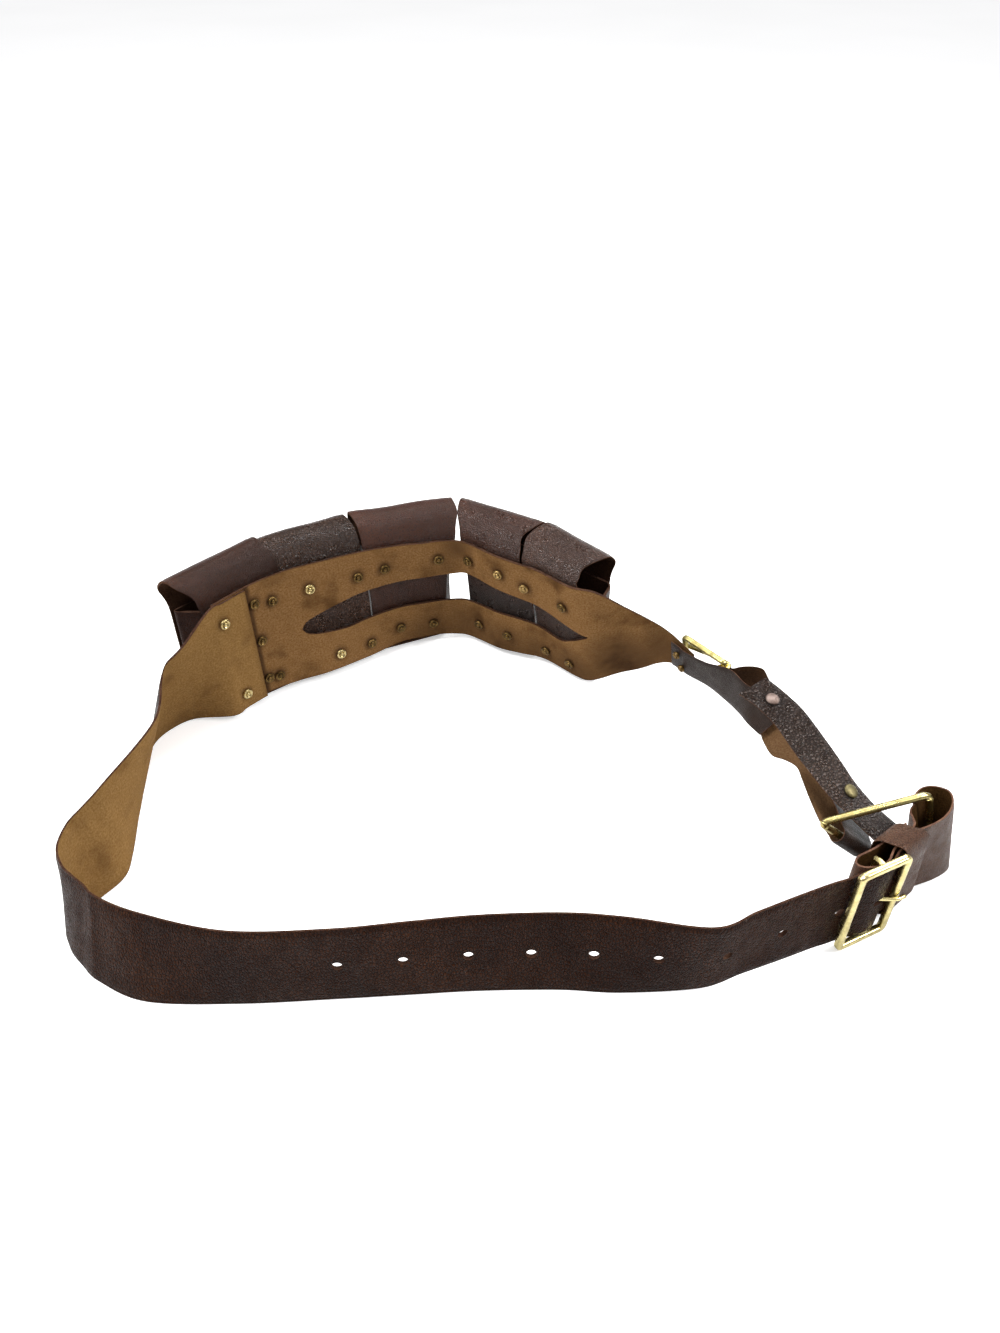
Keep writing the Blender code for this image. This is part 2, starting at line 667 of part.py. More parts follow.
finish(side_tongue, BRASS, 0.3, 1.0)

# The ring strap: a fold on the side buckle, a free run under the stud strap, a roll round the ring's
# short side and a tail back on top. Columns of the free run as in free_rows.
RING_STRAP_ROWS = (
    (0.3143, 0.6667, 0.401, -0.13, -0.08, 0.98),
    (0.3266, 0.6585, 0.409, -0.07, -0.03, 0.995),
    (0.3330, 0.6419, 0.421, -0.02, 0.01, 1.00),
    (0.3318, 0.6148, 0.424, 0.06, 0.03, 0.99),
    (0.3273, 0.5722, 0.414, 0.27, 0.08, 0.93),
    (0.3232, 0.5350, 0.408, 0.57, 0.30, 0.75),
    (0.3230, 0.5093, 0.412, 0.74, 0.40, 0.48),
    (0.3284, 0.4704, 0.414, 0.70, 0.42, 0.53),
    (0.3398, 0.4481, 0.447, 0.72, 0.45, 0.47),
    (0.3477, 0.4148, 0.500, 0.85, 0.45, 0.17),
    (0.3468, 0.3704, 0.539, 0.90, 0.35, -0.10),
    (0.3475, 0.3163, 0.553, 0.89, 0.20, -0.40),
    (0.3534, 0.2704, 0.520, 0.78, 0.10, -0.62),
)
side_wrap = SIDE_WIRE + GAP + NARROW_THICKNESS / 2
fold_low = side_rise - SIDE_WIRE - 3 * GAP
fold_places = [(0.0110, -side_wrap * 1.15), (0.0050, -side_wrap * 1.05)]
fold_places += [
    (side_wrap * math.cos(math.radians(a)), side_wrap * math.sin(math.radians(a)))
    for a in (-90, -130, -180, -230, -270)
]
fold_places += [(0.0035, side_wrap * 1.08)]
ring_strap_rows = [
    [*at_hinge(along, out, fold_low), *(side_up * NARROW_WIDTH)] for along, out in fold_places
]
ring_strap_rows += free_rows(RING_STRAP_ROWS)
ROLL_RADIUS = 0.0042
ROLL_START = 0.0128
short_side = (ring_corners[3] - ring_corners[0]).normalized()
roll_end = ring_corners[0] + short_side * ROLL_START
roll_back = Vector((0, 1, 0)) - short_side * short_side.y
roll_back.normalize()
roll_up = short_side.cross(roll_back)
for a in (-75, -105, -135, -165, -195, -225, -255, -285):
    turn = math.radians(a)
    place = roll_end + (roll_back * math.cos(turn) + roll_up * math.sin(turn)) * ROLL_RADIUS
    ring_strap_rows.append([*place, *(short_side * NARROW_WIDTH)])
for back, rise in ((0.0060, 1.02), (0.0115, 1.02), (0.0165, 0.98)):
    place = roll_end + roll_back * back + roll_up * ROLL_RADIUS * rise
    ring_strap_rows.append([*place, *(short_side * NARROW_WIDTH)])
ring_strap_fine = finer(ring_strap_rows, TABLE_STEP * 0.8)
ring_strap = sheet("ring_strap", strap_lines(ring_strap_fine), NARROW_THICKNESS)
finish(ring_strap, DARK_BROWN)

# The stud strap lies over the ring strap and runs under the ring. Columns as in free_rows.
STUD_STRAP_ROWS = (
    (0.2855, 0.5304, 0.797, 0.81, 0.58, 0.07),
    (0.3011, 0.5007, 0.789, 0.82, 0.55, 0.03),
    (0.3157, 0.4693, 0.763, 0.85, 0.53, 0.01),
    (0.3232, 0.4430, 0.750, 0.87, 0.49, 0.01),
    (0.3350, 0.3893, 0.724, 0.90, 0.43, 0.00),
    (0.3489, 0.3407, 0.691, 0.85, 0.52, -0.04),
    (0.3627, 0.3004, 0.651, 0.78, 0.59, -0.08),
    (0.3761, 0.2793, 0.612, 0.76, 0.61, -0.17),
    (0.3870, 0.2581, 0.579, 0.78, 0.60, -0.20),
    (0.4048, 0.2281, 0.526, 0.78, 0.60, -0.15),
)
stud_strap_fine = finer(free_rows(STUD_STRAP_ROWS), TABLE_STEP * 0.8)
stud_strap = sheet("stud_strap", strap_lines(stud_strap_fine), NARROW_THICKNESS)
finish(stud_strap, DARK_BROWN)


def strap_point(rows, along_share, across_share):
    """A point on a strap's middle surface and the normal there, at shares of its rows and its width."""
    place = along_share * (len(rows) - 1)
    i = min(int(place), len(rows) - 2)
    t = place - i
    row = [p + (q - p) * t for p, q in zip(rows[i], rows[i + 1])]
    along = (Vector(rows[i + 1][:3]) + Vector(rows[i + 1][3:6]) * across_share
             - Vector(rows[i][:3]) - Vector(rows[i][3:6]) * across_share)
    across = Vector(row[3:6])
    return Vector(row[:3]) + across * across_share, along.cross(across).normalized()


# The stud strap's two studs, each with a shank through a hole. Columns: shares along and across.
STRAP_STUDS = ((0.150, 0.50), (0.735, 0.62))
STRAP_STUD_RADIUS = 0.0038
stud_holes = []
for i, (along_share, across_share) in enumerate(STRAP_STUDS):
    centre, up = strap_point(stud_strap_fine, along_share, across_share)
    if up.z < 0:
        up = -up
    stud_holes.append(cutter(f"strap_stud_hole_{i + 1}", centre, up, RIVET_SHANK_RADIUS + GAP,
                             4 * NARROW_THICKNESS))
    half = NARROW_THICKNESS / 2 + GAP
    turned(f"strap_stud_{i + 1}", (
        (0.0, -half - 0.0008), (RIVET_SHANK_RADIUS * 2.0, -half - 0.0008), (RIVET_SHANK_RADIUS * 2.0, -half),
        (RIVET_SHANK_RADIUS, -half), (RIVET_SHANK_RADIUS, half), (STRAP_STUD_RADIUS, half),
        (STRAP_STUD_RADIUS * 0.92, half + 0.0014), (STRAP_STUD_RADIUS * 0.45, half + 0.0022),
        (0.0, half + 0.0024)), RIVET_SIDES, centre, up, STEEL)
cut(stud_strap, stud_holes, "stud_holes")

# The pouches. Columns: start and end as shares of the panel's length, then for the left and the right end
# of the flap's crest its x share, y share and height share.
POUCH_ROWS = (
    (0.015, 0.153, -0.4091, 0.7074, 0.990, -0.3136, 0.8704, 1.000),
    (0.162, 0.314, -0.3034, 0.8704, 0.990, -0.2045, 0.9648, 0.990),
    (0.318, 0.468, -0.1977, 0.9722, 0.990, -0.0614, 1.0389, 0.980),
    (0.515, 0.661, -0.0545, 1.0407, 0.970, 0.0518, 0.9567, 0.944),
    (0.666, 0.801, 0.0609, 0.9556, 0.939, 0.1409, 0.8500, 0.879),
)
BACK_LEVELS = (0.06, 0.40, 0.72, 0.97)
# The roll from the back wall to the crest: share of the way out, share of the rise.
ROLL_UP = ((0.10, 0.48), (0.42, 0.86), (1.00, 1.00))
# The roll from the crest down the front: share of half the depth, share of the crest's height.
ROLL_DOWN = ((0.48, 0.965), (0.86, 0.885), (1.00, 0.760), (1.03, 0.520), (1.00, 0.270))
ACROSS = 6
rivets_back = PANEL_THICKNESS / 2 + GAP + LIE + POUCH_THICKNESS
back_out = rivets_back - POUCH_THICKNESS / 2
body_out = rivets_back + 2 * GAP + 0.0008 + LIE
pouch_flaps = []
pouch_backs = []
for n, row in enumerate(POUCH_ROWS):
    start, end, left_x, left_y, left_z, right_x, right_y, right_z = row
    left = plan(left_x, left_y, left_z * POUCH_HEIGHT)
    right = plan(right_x, right_y, right_z * POUCH_HEIGHT)
    across = (right - left).to_2d().normalized()
    outward = Vector((-across.y, across.x, 0))
    lines = []
    for k in range(ACROSS):
        s = k / (ACROSS - 1)
        share = start + (end - start) * s
        line = [panel_frame(share, level, -back_out)[0] for level in BACK_LEVELS]
        foot = line[-1]
        crest = left.lerp(right, s)
        for way, rise in ROLL_UP:
            flat = foot.lerp(crest, way)
            line.append(Vector((flat.x, flat.y, foot.z + (crest.z - foot.z) * rise)))
        for way, level in ROLL_DOWN:
            flat = crest + outward * (way * POUCH_DEPTH / 2)
            line.append(Vector((flat.x, flat.y, crest.z * level)))
        lines.append(line)
    flap = sheet(f"pouch_flap_{n + 1}", lines, POUCH_THICKNESS)
    finish(flap, BROWN)
    pouch_flaps.append(flap)
    pouch_backs.append((start, end))

    body_front = POUCH_DEPTH / 2 - POUCH_THICKNESS / 2 - BODY_THICKNESS / 2 - 2 * GAP
    body_top = min(left.z, right.z) * BODY_TOP
    levels = (BODY_THICKNESS / 2, body_top * 0.45, body_top * 0.75, body_top)
    outline = []
    for z in levels:
        ends = []
        for s in (BODY_INSET, 1 - BODY_INSET):
            share = start + (end - start) * s
            foot = panel_row(share)
            back = panel_frame(share, (z - foot[2]) / foot[5], -body_out)[0]
            front = left.lerp(right, s) + outward * body_front
            ends.append((Vector((back.x, back.y, z)), Vector((front.x, front.y, z))))
        (left_back, left_front), (right_back, right_front) = ends
        round_by = 0.0050
        ring_points = [left_back]
        for before, corner, after in ((left_back, left_front, right_front),
                                      (left_front, right_front, right_back)):
            first = corner + (before - corner).normalized() * round_by
            last = corner + (after - corner).normalized() * round_by
            for k in range(4):
                t = k / 3
                ring_points.append(first.lerp(corner, t).lerp(corner.lerp(last, t), t))
        ring_points.append(right_back)
        outline.append(ring_points)
    body_lines = [[level[k] for level in outline] for k in range(len(outline[0]))]
    mesh = grid_mesh(f"pouch_body_{n + 1}", body_lines)
    shape = bmesh.new()
    shape.from_mesh(mesh)
    shape.verts.ensure_lookup_table()
    floor = [v for v in shape.verts if v.co.z < BODY_THICKNESS]
    middle = sum((v.co for v in floor), Vector()) / len(floor)
    floor.sort(key=lambda v: math.atan2(v.co.y - middle.y, v.co.x - middle.x))
    shape.faces.new(floor)
    bmesh.ops.recalc_face_normals(shape, faces=shape.faces)
    shape.to_mesh(mesh)
    shape.free()
    body = bpy.data.objects.new(f"pouch_body_{n + 1}", mesh)
    solid = body.modifiers.new("thickness", "SOLIDIFY")
    solid.thickness = BODY_THICKNESS
    solid.offset = 0.0
    solid.use_even_offset = True
    finish(body, BROWN)

    stud_level = 0.36
    front = left.lerp(right, 0.5)
    low = front + outward * (1.015 * POUCH_DEPTH / 2)
    centre = Vector((low.x, low.y, front.z * stud_level))
    half = POUCH_THICKNESS / 2
    cut(flap, [cutter(f"pouch_stud_hole_{n + 1}", centre, outward, RIVET_SHANK_RADIUS + GAP,
                      4 * POUCH_THICKNESS)], "stud_hole")
    turned(f"pouch_stud_{n + 1}", (
        (0.0, -half), (RIVET_SHANK_RADIUS, -half), (RIVET_SHANK_RADIUS, half + 2 * GAP),
        (STUD_RADIUS, half + 2 * GAP), (STUD_RADIUS * 0.9, half + 0.0020), (0.0, half + 0.0030)),
        RIVET_SIDES, centre, outward, BRASS)

# The rivets. Columns: share of the panel's length, share of its height there, and what each goes through:
# 0 the panel and a pouch, 1 the front strap too, 2 the tip strap and the panel.
RIVET_ROWS = (
    (0.0260, 0.84, 1), (0.0933, 0.84, 0), (0.1269, 0.80, 0), (0.2003, 0.80, 0), (0.2936, 0.79, 0),
    (0.3456, 0.81, 0), (0.4541, 0.83, 0), (0.5270, 0.84, 0), (0.5963, 0.84, 0), (0.6483, 0.78, 0),
    (0.7431, 0.76, 0),
    (0.0382, 0.14, 1), (0.1131, 0.12, 0), (0.2370, 0.14, 0), (0.3028, 0.13, 0), (0.3700, 0.17, 0),
    (0.4388, 0.15, 0), (0.5428, 0.19, 0), (0.6070, 0.19, 0), (0.6896, 0.13, 0), (0.7492, 0.13, 0),
    (0.0930, 0.50, 0), (0.0918, 0.14, 0),
    (0.9680, 0.68, 2), (0.9780, 0.25, 2),
)
panel_holes = []
lap_holes = []
tip_holes = []
flap_holes = {}
for i, (share, height, through) in enumerate(RIVET_ROWS):
    centre, inward_normal = panel_frame(share, height)
    head_from = PANEL_THICKNESS / 2 + GAP + LIE
    tail_from = rivets_back + GAP
    if through == 1:
        head_from += STRAP_THICKNESS + GAP + LIE
    if through == 2:
        head_from += NARROW_THICKNESS + GAP + LIE
        tail_from = PANEL_THICKNESS / 2 + GAP
    span = head_from + tail_from + 0.004
    hole = cutter(f"rivet_hole_{i + 1}", centre + inward_normal * (head_from - tail_from) / 2, inward_normal,
                  RIVET_SHANK_RADIUS + GAP, span, 8)
    panel_holes.append(hole)
    if through == 1:
        lap_holes.append(hole)
    if through == 2:
        tip_holes.append(hole)
    for n, (start, end) in enumerate(pouch_backs):
        if start <= share <= end and through != 2:
            flap_holes.setdefault(n, []).append(hole)
    tail = 0.0008
    turned(f"rivet_{i + 1:02d}", (
        (0.0, -tail_from - tail), (RIVET_TAIL_RADIUS, -tail_from - tail), (RIVET_TAIL_RADIUS, -tail_from),
        (RIVET_SHANK_RADIUS, -tail_from), (RIVET_SHANK_RADIUS, head_from), (RIVET_HEAD_RADIUS, head_from),
        (RIVET_HEAD_RADIUS * 0.65, head_from + RIVET_HEAD_RISE), (0.0, head_from + RIVET_HEAD_RISE)),
        RIVET_SIDES, centre, inward_normal, BRASS)
cut(panel, panel_holes)
cut(front_strap, lap_holes, "lap_holes")
cut(tip_strap, tip_holes)
for n, found in flap_holes.items():
    cut(pouch_flaps[n], found, "rivet_holes")

# Last, the belt's frame goes to the middle of its box, on the floor.
bpy.context.view_layer.update()
graph = bpy.context.evaluated_depsgraph_get()
low = Vector((math.inf,) * 3)
high = Vector((-math.inf,) * 3)
for obj in belt_collection.objects:
    if obj.type != "MESH":
        continue
    evaluated = obj.evaluated_get(graph)
    for corner in evaluated.bound_box:
        place = evaluated.matrix_world @ Vector(corner)
        low = Vector(map(min, low, place))
        high = Vector(map(max, high, place))
belt.location = (-(low.x + high.x) / 2, -(low.y + high.y) / 2, -low.z)
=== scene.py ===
"""Looks of a leather utility belt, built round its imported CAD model: a slotted back panel with five flap
pouches, a punched front strap, two buckles, a four-sided ring and narrow straps, standing on its edges."""

import json
import math

import bmesh
import bpy
from mathutils import Matrix, Vector, noise

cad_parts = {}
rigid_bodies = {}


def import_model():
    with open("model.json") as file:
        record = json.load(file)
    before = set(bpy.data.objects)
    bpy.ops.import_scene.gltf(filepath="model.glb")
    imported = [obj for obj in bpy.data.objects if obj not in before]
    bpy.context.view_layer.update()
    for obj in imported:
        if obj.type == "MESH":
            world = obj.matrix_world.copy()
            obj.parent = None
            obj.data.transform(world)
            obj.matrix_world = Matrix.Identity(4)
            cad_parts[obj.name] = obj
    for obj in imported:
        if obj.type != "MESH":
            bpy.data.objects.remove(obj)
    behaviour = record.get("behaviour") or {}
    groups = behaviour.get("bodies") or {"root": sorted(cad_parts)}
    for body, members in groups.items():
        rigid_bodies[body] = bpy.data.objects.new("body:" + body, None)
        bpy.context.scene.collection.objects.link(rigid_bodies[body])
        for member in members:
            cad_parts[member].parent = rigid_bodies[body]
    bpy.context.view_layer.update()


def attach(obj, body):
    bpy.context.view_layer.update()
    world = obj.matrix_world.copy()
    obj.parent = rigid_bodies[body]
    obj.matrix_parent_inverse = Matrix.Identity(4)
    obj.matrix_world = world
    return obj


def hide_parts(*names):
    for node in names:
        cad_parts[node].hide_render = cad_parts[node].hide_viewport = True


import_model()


# The slotted back panel.
# It is one pointed piece of leather with a long slot, its suede side towards the waist. The pouches hang on
# its outer side, and its left end lies under the front strap.
LOOP_WIDTH = 0.440
LOOP_DEPTH = 0.270
BELT_PLACE = Vector((-0.009855, -0.146901, 0.000432))
PANEL_HEIGHT = 0.076
PANEL_THICKNESS = 0.0022
PANEL_START = 0.015
PANEL_COLUMNS = 190
GAP = 0.0003
LIE = 0.0004
EDGE_SHARE = 0.02
WELD = 1e-6
# Columns: x share, y share, bottom as a share of the height, lean, height share.
PANEL_ROWS = (
    (-0.3682, 0.7037, 0.039, -2, 1), (-0.3227, 0.7741, 0.059, -3, 1), (-0.2818, 0.8148, 0.059, -6, 1),
    (-0.2432, 0.8444, 0.059, -7, 1), (-0.1886, 0.9037, 0.059, -3, 1), (-0.1477, 0.9556, 0.059, 3, 1),
    (-0.1114, 0.9778, 0.059, 5, 1), (-0.0818, 0.9889, 0.059, 5, 1), (-0.0523, 0.987, 0.059, 5, 1),
    (-0.0295, 0.9667, 0.059, 5, 1), (0, 0.9333, 0.059, 6, 1), (0.0295, 0.9148, 0.059, 8, 1),
    (0.0659, 0.8926, 0.059, 10, 1), (0.1091, 0.8296, 0.059, 10, 1), (0.1295, 0.8093, 0.079, 9, 0.987),
    (0.1659, 0.8, 0.184, 10, 0.75), (0.1932, 0.7926, 0.25, 13, 0.618), (0.2182, 0.7852, 0.329, 14, 0.447),
    (0.2364, 0.763, 0.382, 12, 0.316), (0.2591, 0.713, 0.421, 15, 0.237),
)
# The long slot. Columns: share of the panel's length, low and high edges as shares of its height.
SLOT_ROWS = (
    (0.173, 0.455, 0.465), (0.19, 0.392, 0.53), (0.254, 0.352, 0.6), (0.315, 0.372, 0.64),
    (0.465, 0.38, 0.66), (0.526, 0.4, 0.69), (0.636, 0.4, 0.64), (0.721, 0.34, 0.58), (0.758, 0.41, 0.55),
    (0.786, 0.495, 0.505),
)
SLOT_STEPS = 120
SLOT_REACH = 0.003
# The rivets. Columns: share of the panel's length, share of its height there, and what each goes through:
# 0 the panel and a pouch, 1 the front strap too, 2 the tip strap and the panel.
RIVET_ROWS = (
    (0.026, 0.84, 1), (0.0933, 0.84, 0), (0.1269, 0.8, 0), (0.2003, 0.8, 0), (0.2936, 0.79, 0),
    (0.3456, 0.81, 0), (0.4541, 0.83, 0), (0.527, 0.84, 0), (0.5963, 0.84, 0), (0.6483, 0.78, 0),
    (0.7431, 0.76, 0), (0.0382, 0.14, 1), (0.1131, 0.12, 0), (0.237, 0.14, 0), (0.3028, 0.13, 0),
    (0.37, 0.17, 0), (0.4388, 0.15, 0), (0.5428, 0.19, 0), (0.607, 0.19, 0), (0.6896, 0.13, 0),
    (0.7492, 0.13, 0), (0.093, 0.5, 0), (0.0918, 0.14, 0), (0.968, 0.68, 2), (0.978, 0.25, 2),
)
# The radius and strength of the stains round each rivet, of the darker band down the panel's fold, and of the
# line of painted contact shadow and dirt where the front strap's end meets the panel.
RIVET_STAIN = (0.0062, 0.60)
FOLD_DARKENING = (0.010, 0.16)
LAP_LINE_SHADOW_AND_DIRT = (0.0028, 0.95)
# A darker band down the panel's fold, at these shares of its length.
FOLD_SHARES = (0.475, 0.481, 0.487, 0.493, 0.499)
LAP_LINE = 0.0835
# Painted shade on the suede, mostly over the panel's right half, which faces away from the key light. Columns:
# share of the panel's length, share of its height, radius, strength.
SUEDE_SHADE_PLACES = (
    (0.44, 0.05, 0.022, 0.45), (0.52, 0.10, 0.022, 0.50), (0.60, 0.06, 0.024, 0.50), (0.68, 0.04, 0.024, 0.55),
    (0.76, 0.05, 0.026, 0.65), (0.85, 0.20, 0.030, 0.70), (0.94, 0.35, 0.028, 0.60), (0.50, 0.95, 0.013, 0.60),
)


def plan(x_share, y_share, z=0.0):
    return Vector((x_share * LOOP_WIDTH, y_share * LOOP_DEPTH, z)) + BELT_PLACE


def between(rows, place):
    """A row of numbers at a fractional place along a table, on the straight line between its neighbours."""
    i = min(int(place), len(rows) - 2)
    return [p + (q - p) * (place - i) for p, q in zip(rows[i], rows[i + 1])]


def smooth_row(rows, place):
    """A row of numbers at a fractional place along a table, by a Catmull-Rom curve."""
    last = len(rows) - 1
    i = min(int(place), last - 1)
    t = place - i
    near = [rows[min(max(k, 0), last)] for k in range(i - 1, i + 3)]
    return [
        0.5 * (2 * q + (r - p) * t + (2 * p - 5 * q + 4 * r - s) * t * t
               + (3 * q - p - 3 * r + s) * t ** 3)
        for p, q, r, s in zip(*near)
    ]


def finer(rows, step):
    """The table with rows added between the given ones, no further apart in space than the step."""
    found = []
    for i in range(len(rows) - 1):
        length = (Vector(rows[i + 1][:3]) - Vector(rows[i][:3])).length
        count = max(1, math.ceil(length / step))
        found += [smooth_row(rows, i + k / count) for k in range(count)]
    return found + [list(rows[-1])]


def level_point(row, level):
    """The point of a row at a share of its width. A row holds a bottom point and a width vector."""
    return Vector(row[:3]) + Vector(row[3:6]) * level


def leaning(rows, inward, height):
    """Rows of x, y, z and a width vector, from rows of x share, y share, z share, lean and width share."""
    points = [plan(r[0], r[1], r[2] * height) for r in rows]
    found = []
    for i, row in enumerate(rows):
        along = points[min(i + 1, len(rows) - 1)] - points[max(i - 1, 0)]
        side = Vector((-along.y, along.x, 0)).normalized() * inward
        tilt = math.radians(row[3])
        width = (side * math.sin(tilt) + Vector((0, 0, math.cos(tilt)))) * row[4] * height
        found.append([*points[i], *width])
    return found


def shares(width, step=0.0024):
    """Shares across a strip of leather, closer together at its two edges."""
    count = max(4, round(width / step))
    return [0.0, *(EDGE_SHARE + (1 - 2 * EDGE_SHARE) * k / count for k in range(count + 1)), 1.0]


def across_lines(rows, levels):
    return [[level_point(r, level) for level in levels] for r in rows]


def placed(name, shape):
    """The shape as an object in the scene."""
    mesh = bpy.data.meshes.new(name)
    shape.to_mesh(mesh)
    shape.free()
    obj = bpy.data.objects.new(name, mesh)
    bpy.context.scene.collection.objects.link(obj)
    return obj


def skin(name, lines, thickness, spots=(), even=True):
    """A sheet of leather through lines of points. Its UVs are in metres, its rim mask is 1 at the cut edges,
    and its mask of stains and painted shade grows towards each spot (place, radius, strength). Face sides take
    materials 0 and 1, and the cut edges take 2."""
    shape = bmesh.new()
    uv = shape.loops.layers.uv.new("UVMap")
    rim = shape.verts.layers.float.new("rim")
    stain = shape.verts.layers.float.new("stain")
    middle = len(lines[0]) // 2
    place = {}
    made = []
    u = 0.0
    for i, line in enumerate(lines):
        u += (line[middle] - lines[i - 1][middle]).length if i else 0.0
        v = 0.0
        column = []
        for k, point in enumerate(line):
            v += (point - line[k - 1]).length if k else 0.0
            vert = shape.verts.new(point)
            place[vert] = (u, v)
            column.append(vert)
            for spot, radius, strength in spots:
                reach = (point - spot).length / radius
                if reach < 1.0:
                    vert[stain] = max(vert[stain], strength * (1.0 - reach * reach))
        made.append(column)
    for a, b in zip(made, made[1:]):
        for j in range(len(a) - 1):
            face = shape.faces.new((a[j], b[j], b[j + 1], a[j + 1]))
            face.smooth = True
            for loop in face.loops:
                loop[uv].uv = place[loop.vert]
    bmesh.ops.remove_doubles(shape, verts=shape.verts, dist=WELD)
    for vert in shape.verts:
        vert[rim] = 1.0 if vert.is_boundary else 0.0
    obj = placed(name, shape)
    solid = obj.modifiers.new("thickness", "SOLIDIFY")
    solid.thickness = thickness
    solid.offset = 0.0
    solid.use_even_offset = even
    solid.thickness_clamp = 1.0
    solid.material_offset = 1
    solid.material_offset_rim = 2
    return obj


def cutter(shape, centre, turn):
    """A cutter in its place. The faces that it cuts take the cut edges' material."""
    for face in shape.faces:
        face.material_index = 2
    obj = placed("cutter", shape)
    obj.matrix_world = Matrix.Translation(centre) @ turn
    return obj


def round_cutter(centre, direction, radius, length):
    """A round punch, turned to its hole's direction."""
    shape = bmesh.new()
    bmesh.ops.create_cone(shape, cap_ends=True, segments=24, radius1=radius, radius2=radius, depth=length)
    for face in shape.faces:
        face.smooth = len(face.verts) == 4
    return cutter(shape, centre, direction.to_track_quat("Z", "Y").to_matrix().to_4x4())


def finished(obj, node, materials, cutters=(), rounding=0.0004, sharp=42):
    """Cuts the holes, rounds the cut edges, keeps the mesh that results, and puts the piece on the frame."""
    for item in materials:
        obj.data.materials.append(item)
    if cutters:
        group = bpy.data.collections.new(obj.name + "_cutters")
        bpy.context.scene.collection.children.link(group)
        for item in cutters:
            for own in materials:
                item.data.materials.append(own)
            group.objects.link(item)
        holes = obj.modifiers.new("holes", "BOOLEAN")
        holes.operand_type = "COLLECTION"
        holes.collection = group
        holes.operation = "DIFFERENCE"
        holes.solver = "EXACT"
    if rounding:
        bevel = obj.modifiers.new("rounding", "BEVEL")
        bevel.width = rounding
        bevel.segments = 2
        bevel.limit_method = "ANGLE"
        bevel.angle_limit = math.radians(50)
    bpy.context.view_layer.update()
    graph = bpy.context.evaluated_depsgraph_get()
    mesh = bpy.data.meshes.new_from_object(obj.evaluated_get(graph))
    obj.modifiers.clear()
    obj.data = mesh
    mesh.set_sharp_from_angle(angle=math.radians(sharp))
    if cutters:
        for item in list(group.objects):
            bpy.data.objects.remove(item, do_unlink=True)
        bpy.data.collections.remove(group)
    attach(obj, "root")
    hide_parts(node)


def node(tree, kind, inputs=(), **settings):
    """A new shader node with its settings, its inputs set or linked."""
    made = tree.nodes.new(kind)
    for key, value in settings.items():
        setattr(made, key, value)
    for key, value in dict(inputs).items():
        if isinstance(value, bpy.types.NodeSocket):
            tree.links.new(value, made.inputs[key])
        else:
            made.inputs[key].default_value = value
    return made


def cloud(tree, place, size, detail=3.0, roughness=0.55):
    """Noise whose features are about this many metres across."""
    made = node(tree, "ShaderNodeTexNoise", {"Vector": place, "Scale": 1.0 / size, "Detail": detail,
                                             "Roughness": roughness})
    return made.outputs["Fac"]


def band(tree, value, low, high, out_low=0.0, out_high=1.0):
    """A smooth step between two values."""
    made = node(tree, "ShaderNodeMapRange", {"Value": value, "From Min": low, "From Max": high,
                                             "To Min": out_low, "To Max": out_high},
                interpolation_type="SMOOTHSTEP")
    return made.outputs["Result"]


def maths(tree, operation, a, b):
    return node(tree, "ShaderNodeMath", {0: a, 1: b}, operation=operation).outputs[0]


def times(tree, a, b):
    return maths(tree, "MULTIPLY", a, b)


def plus(tree, a, b):
    return maths(tree, "ADD", a, b)


def minus(tree, a, b):
    return maths(tree, "SUBTRACT", a, b)


def vectors(tree, operation, inputs):
    return node(tree, "ShaderNodeVectorMath", inputs, operation=operation).outputs[0]


def blend(tree, factor, a, b):
    return node(tree, "ShaderNodeMix", {0: factor, 6: a, 7: b}, data_type="RGBA").outputs[2]


def coordinates(tree, kind):
    return node(tree, "ShaderNodeTexCoord").outputs[kind]


def painted(tree, name):
    """A mask that is kept on the mesh."""
    return node(tree, "ShaderNodeAttribute", attribute_name=name).outputs["Fac"]


def new_group(name, **inputs):
    """A node group with these inputs, and with the three results of a surface."""
    tree = bpy.data.node_groups.new(name, "ShaderNodeTree")
    for label, value in inputs.items():
        kind = "NodeSocketColor" if isinstance(value, tuple) else "NodeSocketFloat"
        tree.interface.new_socket(label, in_out="INPUT", socket_type=kind).default_value = value
    for label, kind in (("colour", "Color"), ("roughness", "Float"), ("normal", "Vector")):
        tree.interface.new_socket(label, in_out="OUTPUT", socket_type="NodeSocket" + kind)
    return tree, tree.nodes.new("NodeGroupInput").outputs, tree.nodes.new("NodeGroupOutput").inputs


def hand_over(tree, result, colour, roughness, height, relief):
    """Links a group's three results. The relief is how far the height stands out, in metres."""
    bump = node(tree, "ShaderNodeBump", {"Strength": 1.0, "Distance": relief, "Height": height})
    for label, value in (("colour", colour), ("roughness", roughness), ("normal", bump.outputs[0])):
        tree.links.new(value, result[label])


# The grain side: pebbles with painted shade in the grooves between them, fine creases, warm patches, pale worn
# flecks, and stains and painted shade from the mesh's mask. Sizes are in metres.
BEND_DENSITY = 420.0
BEND_SHIFT = 0.0011
CREASE_SIZE = 0.0055
FINE_SIZE = 0.0005
MOTTLE_SIZE = 0.0075
PATCH_SIZE = 0.045
FLECK_SIZE = 0.0022
WAVE_SIZE = 0.012
GROOVE_SHADE = (0.010, 0.005, 0.004, 1)
GRAIN_STAIN_AND_SHADE = (0.012, 0.007, 0.005, 1)
tree, given, result = new_group(
    "grain_side", deep=(0.03, 0.015, 0.011, 1), warm=(0.07, 0.03, 0.02, 1), pale=(0.30, 0.22, 0.17, 1),
    pebble=0.0011, relief=0.0003, gloss=0.42, wear=0.3, across=0.7)
stretched = node(tree, "ShaderNodeCombineXYZ", {"X": 1.0, "Y": given["across"], "Z": 1.0}).outputs[0]
